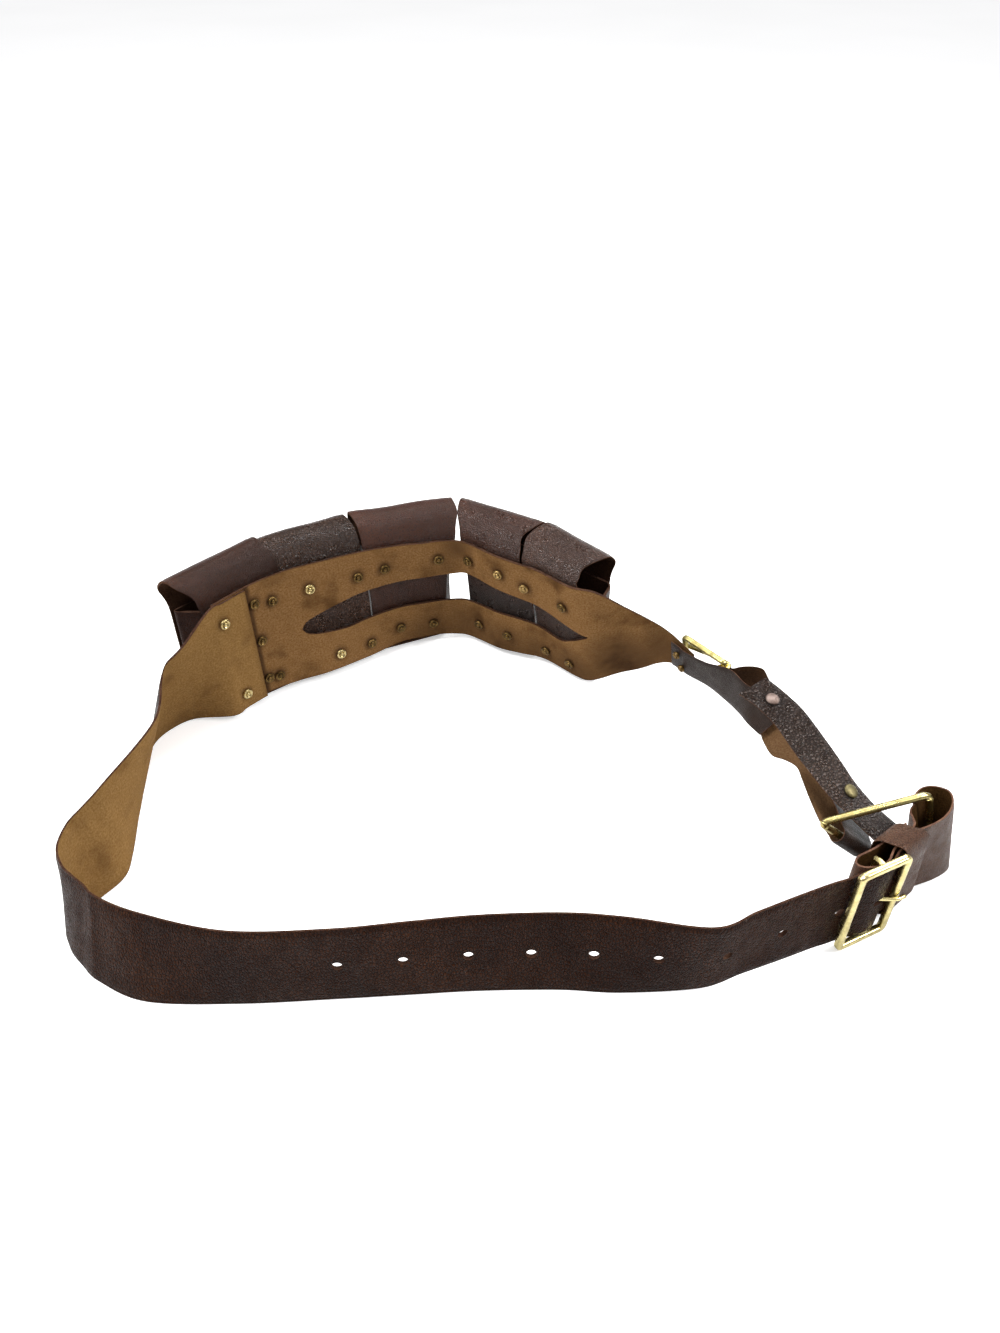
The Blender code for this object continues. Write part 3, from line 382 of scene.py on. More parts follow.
place = vectors(tree, "MULTIPLY", {0: coordinates(tree, "UV"), 1: stretched})
bend = node(tree, "ShaderNodeTexNoise", {"Vector": place, "Scale": BEND_DENSITY, "Detail": 2.0})
bend = vectors(tree, "SCALE", {0: bend.outputs["Color"], "Scale": BEND_SHIFT})
bent = vectors(tree, "ADD", {0: place, 1: bend})
pebbles = node(tree, "ShaderNodeTexVoronoi", {
    "Vector": bent, "Scale": maths(tree, "DIVIDE", 1.0, given["pebble"])}, feature="DISTANCE_TO_EDGE")
pebble_top = band(tree, pebbles.outputs["Distance"], 0.0, 0.22)
crease = maths(tree, "ABSOLUTE", minus(tree, cloud(tree, bent, CREASE_SIZE, 4.0), 0.5), 0.0)
crease = band(tree, crease, 0.0, 0.030, 1.0, 0.0)
mottle = cloud(tree, place, MOTTLE_SIZE, 4.0)
colour = blend(tree, band(tree, cloud(tree, place, PATCH_SIZE, 3.0), 0.32, 0.68), given["deep"], given["warm"])
colour = blend(tree, band(tree, mottle, 0.35, 0.70, 0.0, 0.45), colour, given["deep"])
# Painted shade: the grooves between the pebbles are darkened.
colour = blend(tree, band(tree, pebble_top, 0.0, 1.0, 0.65, 0.0), colour, GROOVE_SHADE)
flecks = plus(tree, cloud(tree, place, FLECK_SIZE, 5.0, 0.65), times(tree, painted(tree, "rim"), 0.07))
worn = times(tree, band(tree, flecks, 0.66, 0.76), given["wear"])
colour = blend(tree, worn, colour, given["pale"])
# The mesh's mask darkens real stains and painted shade alike.
colour = blend(tree, painted(tree, "stain"), colour, GRAIN_STAIN_AND_SHADE)
rough = plus(tree, given["gloss"], band(tree, mottle, 0.3, 0.7, -0.05, 0.09))
rough = plus(tree, rough, times(tree, worn, 0.25))
height = plus(tree, pebble_top, times(tree, cloud(tree, place, FINE_SIZE, 3.0), 0.35))
height = minus(tree, height, times(tree, crease, 0.30))
height = plus(tree, height, times(tree, cloud(tree, place, WAVE_SIZE, 2.0), 3.0))
hand_over(tree, result, colour, rough, height, given["relief"])

# The flesh side: short suede fibres in two tones, broad rubbed patches, and stains and painted shade from the
# mesh's mask.
SPECKLE_SIZE = 0.0011
DRIFT_SIZE = 0.0060
RUBBED_SIZE = 0.032
PIT_SIZE = 0.0018
NAP_SIZE = 0.0006
NAP_RELIEF = 0.00028
SUEDE_STAIN_AND_SHADE = (0.030, 0.014, 0.007, 1)
tree, given, result = new_group("flesh_side", base=(0.30, 0.17, 0.08, 1), light=(0.45, 0.28, 0.14, 1),
                                dark=(0.10, 0.05, 0.025, 1), rubbed=0.5)
place = coordinates(tree, "UV")
speckle = cloud(tree, place, SPECKLE_SIZE, 4.0, 0.7)
drift = cloud(tree, place, DRIFT_SIZE, 4.0)
colour = blend(tree, band(tree, speckle, 0.34, 0.66), given["base"], given["light"])
colour = blend(tree, band(tree, drift, 0.40, 0.75, 0.0, 0.40), colour, given["base"])
smear = times(tree, band(tree, cloud(tree, place, RUBBED_SIZE, 3.0), 0.50, 0.74), given["rubbed"])
colour = blend(tree, smear, colour, given["dark"])
pits = band(tree, cloud(tree, place, PIT_SIZE, 5.0, 0.7), 0.66, 0.76, 0.0, 0.45)
colour = blend(tree, pits, colour, given["dark"])
colour = blend(tree, times(tree, band(tree, painted(tree, "rim"), 0.35, 1.0), 0.45), colour, given["dark"])
# The mesh's mask darkens real stains and painted shade alike.
ragged = times(tree, painted(tree, "stain"), band(tree, speckle, 0.25, 0.65, 0.6, 1.15))
colour = blend(tree, ragged, colour, SUEDE_STAIN_AND_SHADE)
nap = plus(tree, cloud(tree, place, NAP_SIZE, 5.0, 0.75), times(tree, drift, 1.5))
hand_over(tree, result, colour, band(tree, speckle, 0.3, 0.7, 0.82, 0.95), nap, NAP_RELIEF)

# A cut edge: dyed, but with raw fibres showing through here and there.
FIBRE_SIZE = 0.0009
FIBRE_RELIEF = 0.0003
BARE_SIZE = 0.0080
tree, given, result = new_group(
    "cut_edge", dyed=(0.045, 0.020, 0.014, 1), raw=(0.22, 0.11, 0.06, 1), bare=0.4)
place = coordinates(tree, "Object")
fibres = cloud(tree, place, FIBRE_SIZE, 5.0, 0.7)
show = plus(tree, fibres, times(tree, cloud(tree, place, BARE_SIZE, 3.0), 0.5))
show = times(tree, band(tree, show, 0.60, 0.90), given["bare"])
colour = blend(tree, show, given["dyed"], given["raw"])
hand_over(tree, result, colour, band(tree, fibres, 0.3, 0.7, 0.62, 0.85), fibres, FIBRE_RELIEF)


def surface(name, group, specular=0.5, metallic=0.0, **values):
    """A Principled surface that takes its colour, roughness and normal from a shared group."""
    made = bpy.data.materials.new(name)
    made.use_nodes = True
    tree = made.node_tree
    shader = tree.nodes["Principled BSDF"]
    look = tree.nodes.new("ShaderNodeGroup")
    look.node_tree = bpy.data.node_groups[group]
    for label, value in values.items():
        look.inputs[label].default_value = (*value, 1) if isinstance(value, tuple) else value
    for label, socket in (("colour", "Base Color"), ("roughness", "Roughness"), ("normal", "Normal")):
        tree.links.new(look.outputs[label], shader.inputs[socket])
    shader.inputs["Specular IOR Level"].default_value = specular
    shader.inputs["Metallic"].default_value = metallic
    return made


panel_fine = finer(leaning(PANEL_ROWS, -1.0, PANEL_HEIGHT), 0.0016)
panel_arcs = [0.0]
for before, after in zip(panel_fine, panel_fine[1:]):
    panel_arcs.append(panel_arcs[-1] + (Vector(after[:3]) - Vector(before[:3])).to_2d().length)
panel_length = panel_arcs[-1]


def panel_row(share):
    """The panel's row at a share of its length: bottom point and width vector."""
    arc = min(max(share, 0.0), 1.0) * panel_length
    i = max(k for k, value in enumerate(panel_arcs[:-1]) if value <= arc)
    return between(panel_fine, i + (arc - panel_arcs[i]) / (panel_arcs[i + 1] - panel_arcs[i]))


def panel_frame(share, height, inside=0.0):
    """A point on the panel, moved to its inner side by a distance, and the normal there."""
    nearby = 0.010
    here = panel_row(share)
    along = level_point(panel_row(share + nearby), height) - level_point(panel_row(share - nearby), height)
    normal = Vector(here[3:6]).cross(along).normalized()
    return level_point(here, height) + normal * -inside, -normal


def panel_spot(share, height, radius, strength):
    return panel_frame(share, height)[0], radius, strength


# The slot's cutter is a strip between the slot's two edges, thicker than the panel.
shape = bmesh.new()
rings = []
for k in range(SLOT_STEPS + 1):
    share, low, high = smooth_row(SLOT_ROWS, k / SLOT_STEPS * (len(SLOT_ROWS) - 1))
    middle = (low + high) / 2
    half = max((high - low) / 2, 0.004)
    row = panel_row(share)
    reach = panel_frame(share, middle)[1] * SLOT_REACH
    low_edge = level_point(row, middle - half)
    high_edge = level_point(row, middle + half)
    rings.append([shape.verts.new(p) for p in (low_edge - reach, high_edge - reach,
                                               high_edge + reach, low_edge + reach)])
for a, b in zip(rings, rings[1:]):
    for k in range(4):
        shape.faces.new((a[k], b[k], b[(k + 1) % 4], a[(k + 1) % 4]))
shape.faces.new(rings[0])
shape.faces.new(rings[-1])
bmesh.ops.recalc_face_normals(shape, faces=shape.faces)
slot_cutter = cutter(shape, Vector(), Matrix.Identity(4))
rivet_stains = [panel_spot(share, height, *RIVET_STAIN)
                for share, height, through in RIVET_ROWS if through != 2]
# The panel's mask: a darker band down its fold, painted shade on its right half, and a line of painted contact
# shadow and dirt at the front strap's end.
panel_stains_and_shade = [panel_spot(share, 0.06 * k, *FOLD_DARKENING) for share in FOLD_SHARES for k in range(17)]
panel_stains_and_shade += [panel_spot(*row) for row in SUEDE_SHADE_PLACES]
panel_stains_and_shade += [panel_spot(LAP_LINE, 0.02 * k, *LAP_LINE_SHADOW_AND_DIRT) for k in range(51)]
panel_lines = across_lines(
    [panel_row(PANEL_START + (1 - PANEL_START) * k / PANEL_COLUMNS) for k in range(PANEL_COLUMNS + 1)],
    shares(PANEL_HEIGHT, 0.0018))
panel_suede = surface(
    "panel_suede", "flesh_side", 0.04, base=(0.136, 0.065, 0.02), light=(0.23, 0.128, 0.053),
    dark=(0.058, 0.026, 0.008), rubbed=0.9)
panel_grain = surface(
    "panel_grain", "grain_side", 0.2, deep=(0.03, 0.012, 0.007), warm=(0.055, 0.022, 0.013), gloss=0.42)
panel_edge = surface("panel_edge", "cut_edge", 0.05, dyed=(0.026, 0.012, 0.008), bare=0.25)
finished(skin("slotted_panel_leather", panel_lines, PANEL_THICKNESS, rivet_stains + panel_stains_and_shade),
         "slotted_panel", (panel_suede, panel_grain, panel_edge), [slot_cutter])


# The front strap.
# It is riveted over the panel's left end, bends round the left side and runs along the front to the buckle.
# Its grain is outside, and it has a row of punched holes.
STRAP_WIDTH = 0.048
STRAP_THICKNESS = 0.0022
HOLE_RADIUS = 0.0025
HOLE_STAIN = (0.0058, 0.55)
FRONT_WIRE = 0.0016
FRONT_BUCKLE_LENGTH = 0.0297
LAP_END = 0.0790
LAP_WIDTH = 1.002
# Painted shadow along the front strap's end, where it lies on the panel.
LAP_SHADOW = (0.0036, 0.75)
TONGUE_WIRE = 0.0012
TONGUE_CLEARANCE = 0.0006
TONGUE_SLIT = (0.0086, 0.0080)
# Columns: x share, y share, bottom as a share of the strap's width, lean to the inside, width share.
FRONT_ROWS = (
    (-0.415, 0.6996, 0.021, 15, 1.438), (-0.443, 0.6711, 0, 18, 1.375), (-0.4585, 0.6274, 0, 18.5, 1.312),
    (-0.4585, 0.5789, 0, 18.5, 1.25), (-0.4502, 0.4696, 0, 19, 1.188), (-0.4355, 0.3189, 0, -2, 1.104),
    (-0.4352, 0.2637, 0, -9, 1.083), (-0.4523, 0.22, 0, -6, 1.073), (-0.4685, 0.1852, 0, 3, 1.062),
    (-0.4745, 0.1433, 0, 11, 1.052), (-0.4632, 0.1041, 0, 14, 1.042), (-0.444, 0.072, 0, 15.5, 1.042),
    (-0.4214, 0.0419, 0, 16, 1.031), (-0.3655, 0.0037, 0, 17, 1.021), (-0.2686, 0, 0, 6, 1),
    (-0.1659, 0.0093, 0, 4, 1), (-0.0932, 0.017, 0, 6, 1), (-0.0209, 0.0244, 0, 8, 1),
    (0.0627, 0.0263, 0, 9, 1), (0.125, 0.0207, 0, 8, 1), (0.2091, 0.0285, 0.01, -2, 1),
    (0.2541, 0.0537, 0.031, -1, 1), (0.2998, 0.0793, 0.056, 0, 1),
)
# The buckle's left post stands at this share of the loop, and the buckle runs along this heading.
BUCKLE_POST = (0.3648, 0.1056)
BUCKLE_HEADING = math.radians(25.7)
# The strap's end in the buckle. Columns: share of the bar span, distance to the inside in layers of strap.
BILLET_ROWS = (
    (-0.5, 1.65), (-0.2, 1.3), (0, 1.16), (0.2, 0.95), (0.45, 0.12), (0.6, 0), (0.74, 0.34), (0.88, 1.3),
    (1.02, 2.1), (1.25, 2.64), (1.5, 3.22),
)
# The punched holes, by the x of each as a share of the loop's width.
HOLE_X = (-0.1636, -0.0977, -0.0318, 0.0318, 0.0955, 0.1605, 0.2295, 0.2898, 0.3535)
post = plan(*BUCKLE_POST)
buckle_along = Vector((math.cos(BUCKLE_HEADING), math.sin(BUCKLE_HEADING), 0))
buckle_in = Vector((-buckle_along.y, buckle_along.x, 0))
buckle_opening = STRAP_WIDTH + 2 * GAP + 0.0002
buckle_bottom = 2 * FRONT_WIRE + GAP + 0.0001
bar_span = FRONT_BUCKLE_LENGTH - 2 * FRONT_WIRE
layer = STRAP_THICKNESS + GAP + LIE / 2
tongue_level = buckle_bottom + STRAP_WIDTH * 0.5
slit_height = 2 * (TONGUE_WIRE + TONGUE_CLEARANCE)


def at_buckle(u, v, z=0.0):
    """A point beside the buckle: u along it from the left post, v to the inside of the loop."""
    return post + buckle_along * u + buckle_in * v + Vector((0, 0, z))


def buckled_rows(rows):
    """Rows of a strap in the buckle, from shares of the bar span and layers of strap."""
    return [[*at_buckle(u * bar_span, v * layer, buckle_bottom), 0, 0, STRAP_WIDTH] for u, v in rows]


def tongue_cutter(u, v, length, width, height):
    """A box cutter for the tongue's way through a strap, at a share of the bar span and a layer."""
    shape = bmesh.new()
    bmesh.ops.create_cube(shape, size=1.0)
    turn = Matrix((buckle_along, buckle_in, buckle_along.cross(buckle_in))).transposed().to_4x4()
    return cutter(shape, at_buckle(bar_span * u, layer * v, tongue_level),
                  turn @ Matrix.Diagonal((length, width, height, 1.0)))


lap_rows = []
for share in (LAP_END, 0.060, 0.032, 0.005):
    foot, _ = panel_frame(share, 0.0, PANEL_THICKNESS / 2 + GAP + STRAP_THICKNESS / 2 + LIE)
    lap_rows.append([*foot, *(Vector(panel_row(share)[3:6]) * LAP_WIDTH)])
front_fine = finer(lap_rows + leaning(FRONT_ROWS, 1.0, STRAP_WIDTH) + buckled_rows(BILLET_ROWS), 0.0024)
punches = []
# The strap's mask: painted shadow along its end on the panel, and stains round the punched holes.
front_stains_and_shade = [panel_spot(LAP_END - 0.001, 0.02 * k, *LAP_SHADOW) for k in range(52)]
for share in HOLE_X:
    at = share * LOOP_WIDTH + BELT_PLACE.x
    a, b = [(a, b) for a, b in zip(front_fine, front_fine[1:])
            if a[0] <= at <= b[0] and a[1] < 0.25 * LOOP_DEPTH + BELT_PLACE.y][0]
    row = between((a, b), (at - a[0]) / (b[0] - a[0]))
    centre = level_point(row, 0.5)
    facing = (Vector(b[:3]) - Vector(a[:3])).cross(Vector(row[3:6])).normalized()
    punches.append(round_cutter(centre, facing, HOLE_RADIUS, 4 * STRAP_THICKNESS))
    front_stains_and_shade.append((centre, *HOLE_STAIN))
punches.append(tongue_cutter(0.68, 0.30, *TONGUE_SLIT, slit_height))
strap_grain = surface(
    "strap_grain", "grain_side", 0.05, deep=(0.02, 0.005, 0.001), warm=(0.047, 0.0148, 0.0045),
    pale=(0.26, 0.19, 0.15), pebble=0.0013, relief=0.0008, gloss=0.36, wear=0.7, across=0.55)
strap_suede = surface(
    "strap_suede", "flesh_side", 0.04, base=(0.16, 0.084, 0.025), light=(0.255, 0.147, 0.054),
    dark=(0.072, 0.032, 0.01), rubbed=0.6)
strap_edge = surface(
    "strap_edge", "cut_edge", 0.05, dyed=(0.028, 0.011, 0.007), raw=(0.14, 0.075, 0.045), bare=0.35)
finished(skin("front_strap_leather", across_lines(front_fine, shares(STRAP_WIDTH)), STRAP_THICKNESS,
              rivet_stains + front_stains_and_shade),
         "front_strap", (strap_grain, strap_suede, strap_edge), punches)


# The front buckle and its tongue.
# A rectangular brass frame stands outside the strap, with its centre bar set back behind it. The tongue hooks
# round the bar and comes out through the strap over the right side of the frame.
FRONT_BAR_SETBACK = 0.0060
BAR_BEND = 0.7
BAR_DROP = 0.0006
BUCKLE_CORNER = 0.0022
# How stout the wires look beside the plain model's.
FRAME_STOUTNESS = 1.14
BAR_STOUTNESS = 0.92
WIRE_SIDES = 20
WIRE_STEP = 0.0022
UNEVENNESS = 0.035


def rounded_corner(start, corner, end, steps):
    ways = [k / steps for k in range(steps + 1)]
    return [start.lerp(corner, t).lerp(corner.lerp(end, t), t) for t in ways]


def rounded_loop(corners, radius, steps=6):
    """Points round a closed polygon whose corners are rounded."""
    found = []
    for i, corner in enumerate(corners):
        start = corner + (corners[i - 1] - corner).normalized() * radius
        end = corner + (corners[(i + 1) % len(corners)] - corner).normalized() * radius
        found += rounded_corner(start, corner, end, steps)
    return found


def bridged(shape, rings, closed=False):
    """Smooth faces between each ring of points and the next. Rings that are all one point make an end."""
    for a, b in zip(rings, rings[1:] + rings[:1] if closed else rings[1:]):
        for k in range(len(a)):
            after = (k + 1) % len(a)
            corners = list(dict.fromkeys((a[k], a[after], b[after], b[k])))
            if len(corners) > 2:
                shape.faces.new(corners).smooth = True


def wire(name, points, radius, closed, flatten=0.0, face=None, taper=(1.0, 1.0)):
    """A cast or drawn metal bar through the points. Its section is squarer towards flatten 1, and it faces
    the given way."""
    path = []
    for a, b in zip(points, points[1:] + points[:1] if closed else points[1:]):
        steps = max(1, math.ceil((b - a).length / WIRE_STEP))
        path += [a.lerp(b, k / steps) for k in range(steps)]
    if not closed:
        path.append(points[-1])
    count = len(path)
    shape = bmesh.new()
    rings = []
    for i, place in enumerate(path):
        before = path[(i - 1) % count] if closed or i else place
        after = path[(i + 1) % count] if closed or i < count - 1 else place
        along = (after - before).normalized()
        out = (face - along * face.dot(along)).normalized() if face else along.orthogonal().normalized()
        side = along.cross(out)
        size = radius * (taper[0] + (taper[1] - taper[0]) * i / max(count - 1, 1))
        size *= 1.0 + UNEVENNESS * noise.noise(place * 160)
        power = 1.0 - 0.45 * flatten
        ring_verts = []
        for k in range(WIRE_SIDES):
            turn = 2 * math.pi * k / WIRE_SIDES
            c, s = math.cos(turn), math.sin(turn)
            x = math.copysign(abs(c) ** power, c) * size
            y = math.copysign(abs(s) ** power, s) * size
            ring_verts.append(shape.verts.new(place + out * x + side * y))
        rings.append(ring_verts)
    bridged(shape, rings, closed)
    if not closed:
        shape.faces.new(rings[0])
        shape.faces.new(rings[-1])
    bmesh.ops.recalc_face_normals(shape, faces=shape.faces)
    return placed(name, shape)


def joined(name, pieces):
    """Several meshes kept as one piece."""
    shape = bmesh.new()
    for item in pieces:
        shape.from_mesh(item.data)
        bpy.data.objects.remove(item, do_unlink=True)
    return placed(name, shape)


def hooked(centre, radius, turns, at):
    """Points of a hook round a bar, at each turn in degrees, each placed by its two distances."""
    return [at(centre[0] + radius * math.cos(math.radians(a)), centre[1] + radius * math.sin(math.radians(a)))
            for a in turns]


# Worn metal: cloudy tarnish, fine scratches, small pits and a slightly uneven face. Sizes are in metres.
TARNISH_SIZE = 0.0050
SPECK_SIZE = 0.0009
SCRATCH_STRETCH = (60.0, 60.0, 1400.0)
METAL_RELIEF = 0.00007
PIT_DARK = (0.07, 0.045, 0.015, 1)
tree, given, result = new_group(
    "worn_metal", bright=(0.72, 0.56, 0.24, 1), dull=(0.30, 0.21, 0.07, 1), polish=0.24, tarnish=0.5)
place = coordinates(tree, "Object")
drift = cloud(tree, place, TARNISH_SIZE, 4.0)
speck = cloud(tree, place, SPECK_SIZE, 4.0, 0.7)
lines = node(tree, "ShaderNodeMapping", {"Vector": place, "Scale": SCRATCH_STRETCH}).outputs[0]
scratch = node(tree, "ShaderNodeTexNoise", {"Vector": lines, "Scale": 1.0, "Detail": 3.0}).outputs["Fac"]
scratch = band(tree, scratch, 0.56, 0.70)
dirt = times(tree, band(tree, plus(tree, drift, times(tree, speck, 0.4)), 0.58, 0.90), given["tarnish"])
pits = band(tree, speck, 0.68, 0.78, 0.0, 0.7)
colour = blend(tree, pits, blend(tree, dirt, given["bright"], given["dull"]), PIT_DARK)
rough = plus(tree, plus(tree, given["polish"], times(tree, dirt, 0.22)), times(tree, scratch, 0.10))
height = minus(tree, minus(tree, times(tree, drift, 2.0), pits), times(tree, scratch, 0.3))
hand_over(tree, result, colour, rough, height, METAL_RELIEF)


def metal(name, **values):
    return surface(name, "worn_metal", metallic=1.0, **values)


buckle_brass = metal(
    "buckle_brass", bright=(0.72, 0.62, 0.29), dull=(0.3, 0.24, 0.08), polish=0.22, tarnish=0.45)
frame_low = FRONT_WIRE
frame_high = buckle_bottom + buckle_opening + FRONT_WIRE - GAP
centre_u = bar_span / 2
frame_corners = [at_buckle(u, 0, z) for u, z in (
    (0, frame_low), (bar_span, frame_low), (bar_span, frame_high), (0, frame_high))]
frame_bar = wire("frame_bar", rounded_loop(frame_corners, BUCKLE_CORNER), FRONT_WIRE * FRAME_STOUTNESS, True,
                 0.8, -buckle_in)
bar_points = [at_buckle(centre_u, FRONT_BAR_SETBACK * setback, z) for setback, z in (
    (0, frame_high), (BAR_BEND, frame_high), (1, frame_high - BAR_DROP),
    (1, frame_low + BAR_DROP), (BAR_BEND, frame_low), (0, frame_low))]
centre_bar = wire("centre_bar", bar_points, FRONT_WIRE * BAR_STOUTNESS, False, 0.0, buckle_along)
finished(joined("front_buckle_brass", [frame_bar, centre_bar]),
         "front_buckle", (buckle_brass,), rounding=0)
hook = FRONT_WIRE + GAP + TONGUE_WIRE
tongue_points = hooked((centre_u, FRONT_BAR_SETBACK), hook, range(40, 270, 16),
                       lambda u, v: at_buckle(u, v, tongue_level))
tongue_points += [at_buckle(bar_span * u, v, tongue_level) for u, v in (
    (0.72, 0.0004), (0.97, -hook), (1.14, -hook * 1.05))]
finished(wire("front_tongue_brass", tongue_points, TONGUE_WIRE, False, 0.4, Vector((0, 0, 1)), (1.0, 0.82)),
         "front_tongue", (buckle_brass,), rounding=0.0003)


# The loop strap.
# A short wide strap folded in two: both layers pass through the front buckle and the keeper, and its fold
# holds the ring. The grain is outside all the way round.
# In the buckle: u as a share of the bar span, v in layers.
LOOP_IN_BUCKLE = (
    (1.58, 6.41), (1.36, 5.89), (1.11, 5.26), (0.83, 4.67), (0.59, 4.4), (0.34, 4.33), (0.21, 3.8),
    (0.175, 2.95), (0.24, 2.1), (0.36, 1.55), (0.5, 1.13), (0.66, 1.18), (0.77, 1.6), (0.89, 2.37),
    (1.02, 3.05), (1.25, 3.6), (1.5, 4.15),
)
# The rest. Columns: x and y shares of the loop, bottom and width vector as shares of the strap's width.
LOOP_ROWS = (
    (0.4475, 0.2181, 0.072, 0, 0, 1), (0.4641, 0.2304, 0.071, -0.025, -0.006, 0.99),
    (0.4809, 0.2419, 0.058, -0.085, -0.006, 0.985), (0.4977, 0.2541, 0.046, -0.15, -0.008, 0.99),
    (0.515, 0.2711, 0.042, -0.2, 0.023, 0.98), (0.5218, 0.2852, 0.05, -0.208, 0.073, 0.97),
    (0.5182, 0.2985, 0.071, -0.181, 0.092, 0.95), (0.5091, 0.3022, 0.092, -0.177, 0.125, 0.93),
    (0.4985, 0.296, 0.118, -0.19, 0.167, 0.91), (0.4891, 0.2831, 0.152, -0.211, 0.19, 0.885),
    (0.4812, 0.2659, 0.19, -0.231, 0.178, 0.855), (0.476, 0.2528, 0.19, -0.221, 0.148, 0.855),
    (0.4605, 0.2459, 0.125, -0.142, 0.096, 0.92), (0.4445, 0.23, 0.096, -0.01, 0.01, 0.96),
    (0.433, 0.217, 0.09, 0, 0, 0.96),
)


def free_rows(rows, height, width):
    """Rows of x, y, z and a width vector, from shares of the loop, of a height and of a strap's width."""
    return [[*plan(r[0], r[1], r[2] * height), *(Vector(r[3:6]) * width)] for r in rows]


loop_rows = buckled_rows(LOOP_IN_BUCKLE) + free_rows(LOOP_ROWS, STRAP_WIDTH, STRAP_WIDTH)
tongue_slot = tongue_cutter(0.55, 1.15, bar_span * 0.50, 0.0056, slit_height + 0.0004)
loop_grain = surface(
    "loop_grain", "grain_side", 0.15, deep=(0.086, 0.04, 0.023), warm=(0.142, 0.074, 0.046),
    pale=(0.34, 0.24, 0.19), pebble=0.0009, relief=0.0003, gloss=0.42, wear=0.5, across=0.8)
# The loop's flesh side is far darker than the other suede: painted shade for the inside of the folded loop.
shaded_loop_suede = surface(
    "shaded_loop_suede", "flesh_side", 0.05, base=(0.034, 0.015, 0.004), light=(0.074, 0.037, 0.012),
    dark=(0.014, 0.006, 0.002), rubbed=0.7)
loop_edge = surface("loop_edge", "cut_edge", 0.2, dyed=(0.062, 0.024, 0.015), raw=(0.2, 0.1, 0.055), bare=0.6)
loop_lines = across_lines(finer(loop_rows, 0.0016), shares(STRAP_WIDTH))
finished(skin("loop_strap_leather", loop_lines, STRAP_THICKNESS),
         "loop_strap", (loop_grain, shaded_loop_suede, loop_edge), [tongue_slot])


# The keeper.
# A band of the same leather goes round all the layers beside the buckle. Both its sides are cut askew.
# Columns: share of the depth to the inside, share of the height.
KEEPER_SECTION = (
    (0, 0.1), (0, 0.37), (0, 0.63), (0, 0.9), (0.06, 0.97), (0.22, 1), (0.5, 1), (0.78, 1), (0.94, 0.97),
    (1, 0.9), (1, 0.5), (1, 0.1), (0.94, 0.03), (0.78, 0), (0.5, 0), (0.22, 0), (0.06, 0.03),
)
KEEPER_SLOPE = 0.235
# Where the keeper starts and ends along the buckle, in bar spans: at its top and its foot, outside and inside.
KEEPER_STARTS = ((1.110, 1.245), (0.755, 0.830))
KEEPER_ENDS = ((1.758, 2.040), (1.358, 1.430))
keeper_depth = 5.48 * layer
keeper_low = STRAP_THICKNESS / 2 + LIE
keeper_high = buckle_bottom * 2 + STRAP_WIDTH - keeper_low


def keeper_share(corners, depth_share, height_share):
    outside, inside = [low + (top - low) * height_share for top, low in corners]
    return outside + (inside - outside) * depth_share


section = []
for i in range(len(KEEPER_SECTION)):
    rows = [KEEPER_SECTION[(i + k) % len(KEEPER_SECTION)] for k in (-1, 0, 1, 2)]
    section += [smooth_row(rows, 1 + k / 4) for k in range(4)]
keeper_lines = []
for depth_share, height_share in section:
    start = keeper_share(KEEPER_STARTS, depth_share, height_share)
    finish_at = keeper_share(KEEPER_ENDS, depth_share, height_share)
    line = []
    for end in shares(bar_span * 0.7, 0.0020):
        u = (start + (finish_at - start) * end) * bar_span
        v = layer * 1.08 + KEEPER_SLOPE * (u - bar_span * 1.11) + depth_share * keeper_depth
        line.append(at_buckle(u, v, keeper_low + (keeper_high - keeper_low) * height_share))
    keeper_lines.append(line)
keeper_lines.append([p.copy() for p in keeper_lines[0]])
finished(skin("keeper_leather", keeper_lines, STRAP_THICKNESS), "keeper",
         (shaded_loop_suede, loop_grain, loop_edge))


# The ring.
# A four-sided wire ring of brass joins the loop strap's fold to the ring strap.
# Columns: x and y shares of the loop, height as a share of the panel's height.
RING_WIRE = 0.0015
RING_STOUTNESS = 1.25
RING_CORNER = 0.0040
RING_CORNERS = (
    (0.3439, 0.2359, 0.658), (0.4682, 0.2889, 0.711), (0.4966, 0.2704, 0.025), (0.4045, 0.2463, 0.343),
)
ring_corners = [plan(x, y, z * PANEL_HEIGHT) for x, y, z in RING_CORNERS]
ring_brass = metal("ring_brass", bright=(0.55, 0.46, 0.19), dull=(0.19, 0.15, 0.05), polish=0.25, tarnish=0.6)
finished(wire("ring_brass_wire", rounded_loop(ring_corners, RING_CORNER), RING_WIRE * RING_STOUTNESS, True),
         "ring", (ring_brass,), rounding=0)


# The tip strap.
# It is riveted inside the panel's tip, passes the side buckle and ends in a rounded cut beyond it.
NARROW_WIDTH = 0.020
NARROW_THICKNESS = 0.0018
TIP_STAIN = (0.0050, 0.5)
# Columns: x share, y share, bottom as a share of the panel's height, width vector as shares of the width.
TIP_ROWS = (
    (0.2727, 0.6837, 0.395, -0.2, -0.1, 0.975), (0.2911, 0.6359, 0.4, -0.06, -0.02, 1.18),
    (0.303, 0.5948, 0.408, 0.04, 0.01, 1.06), (0.3089, 0.5537, 0.434, 0.45, 0.25, 0.85),
    (0.3173, 0.51, 0.474, 0.75, 0.4, 0.48),
)


def narrow_skin(name, rows, spots):
    """A narrow strap's leather, from rows of its bottom point and its width vector."""
    return skin(name, across_lines(rows, shares(NARROW_WIDTH, 0.0014)), NARROW_THICKNESS, spots)


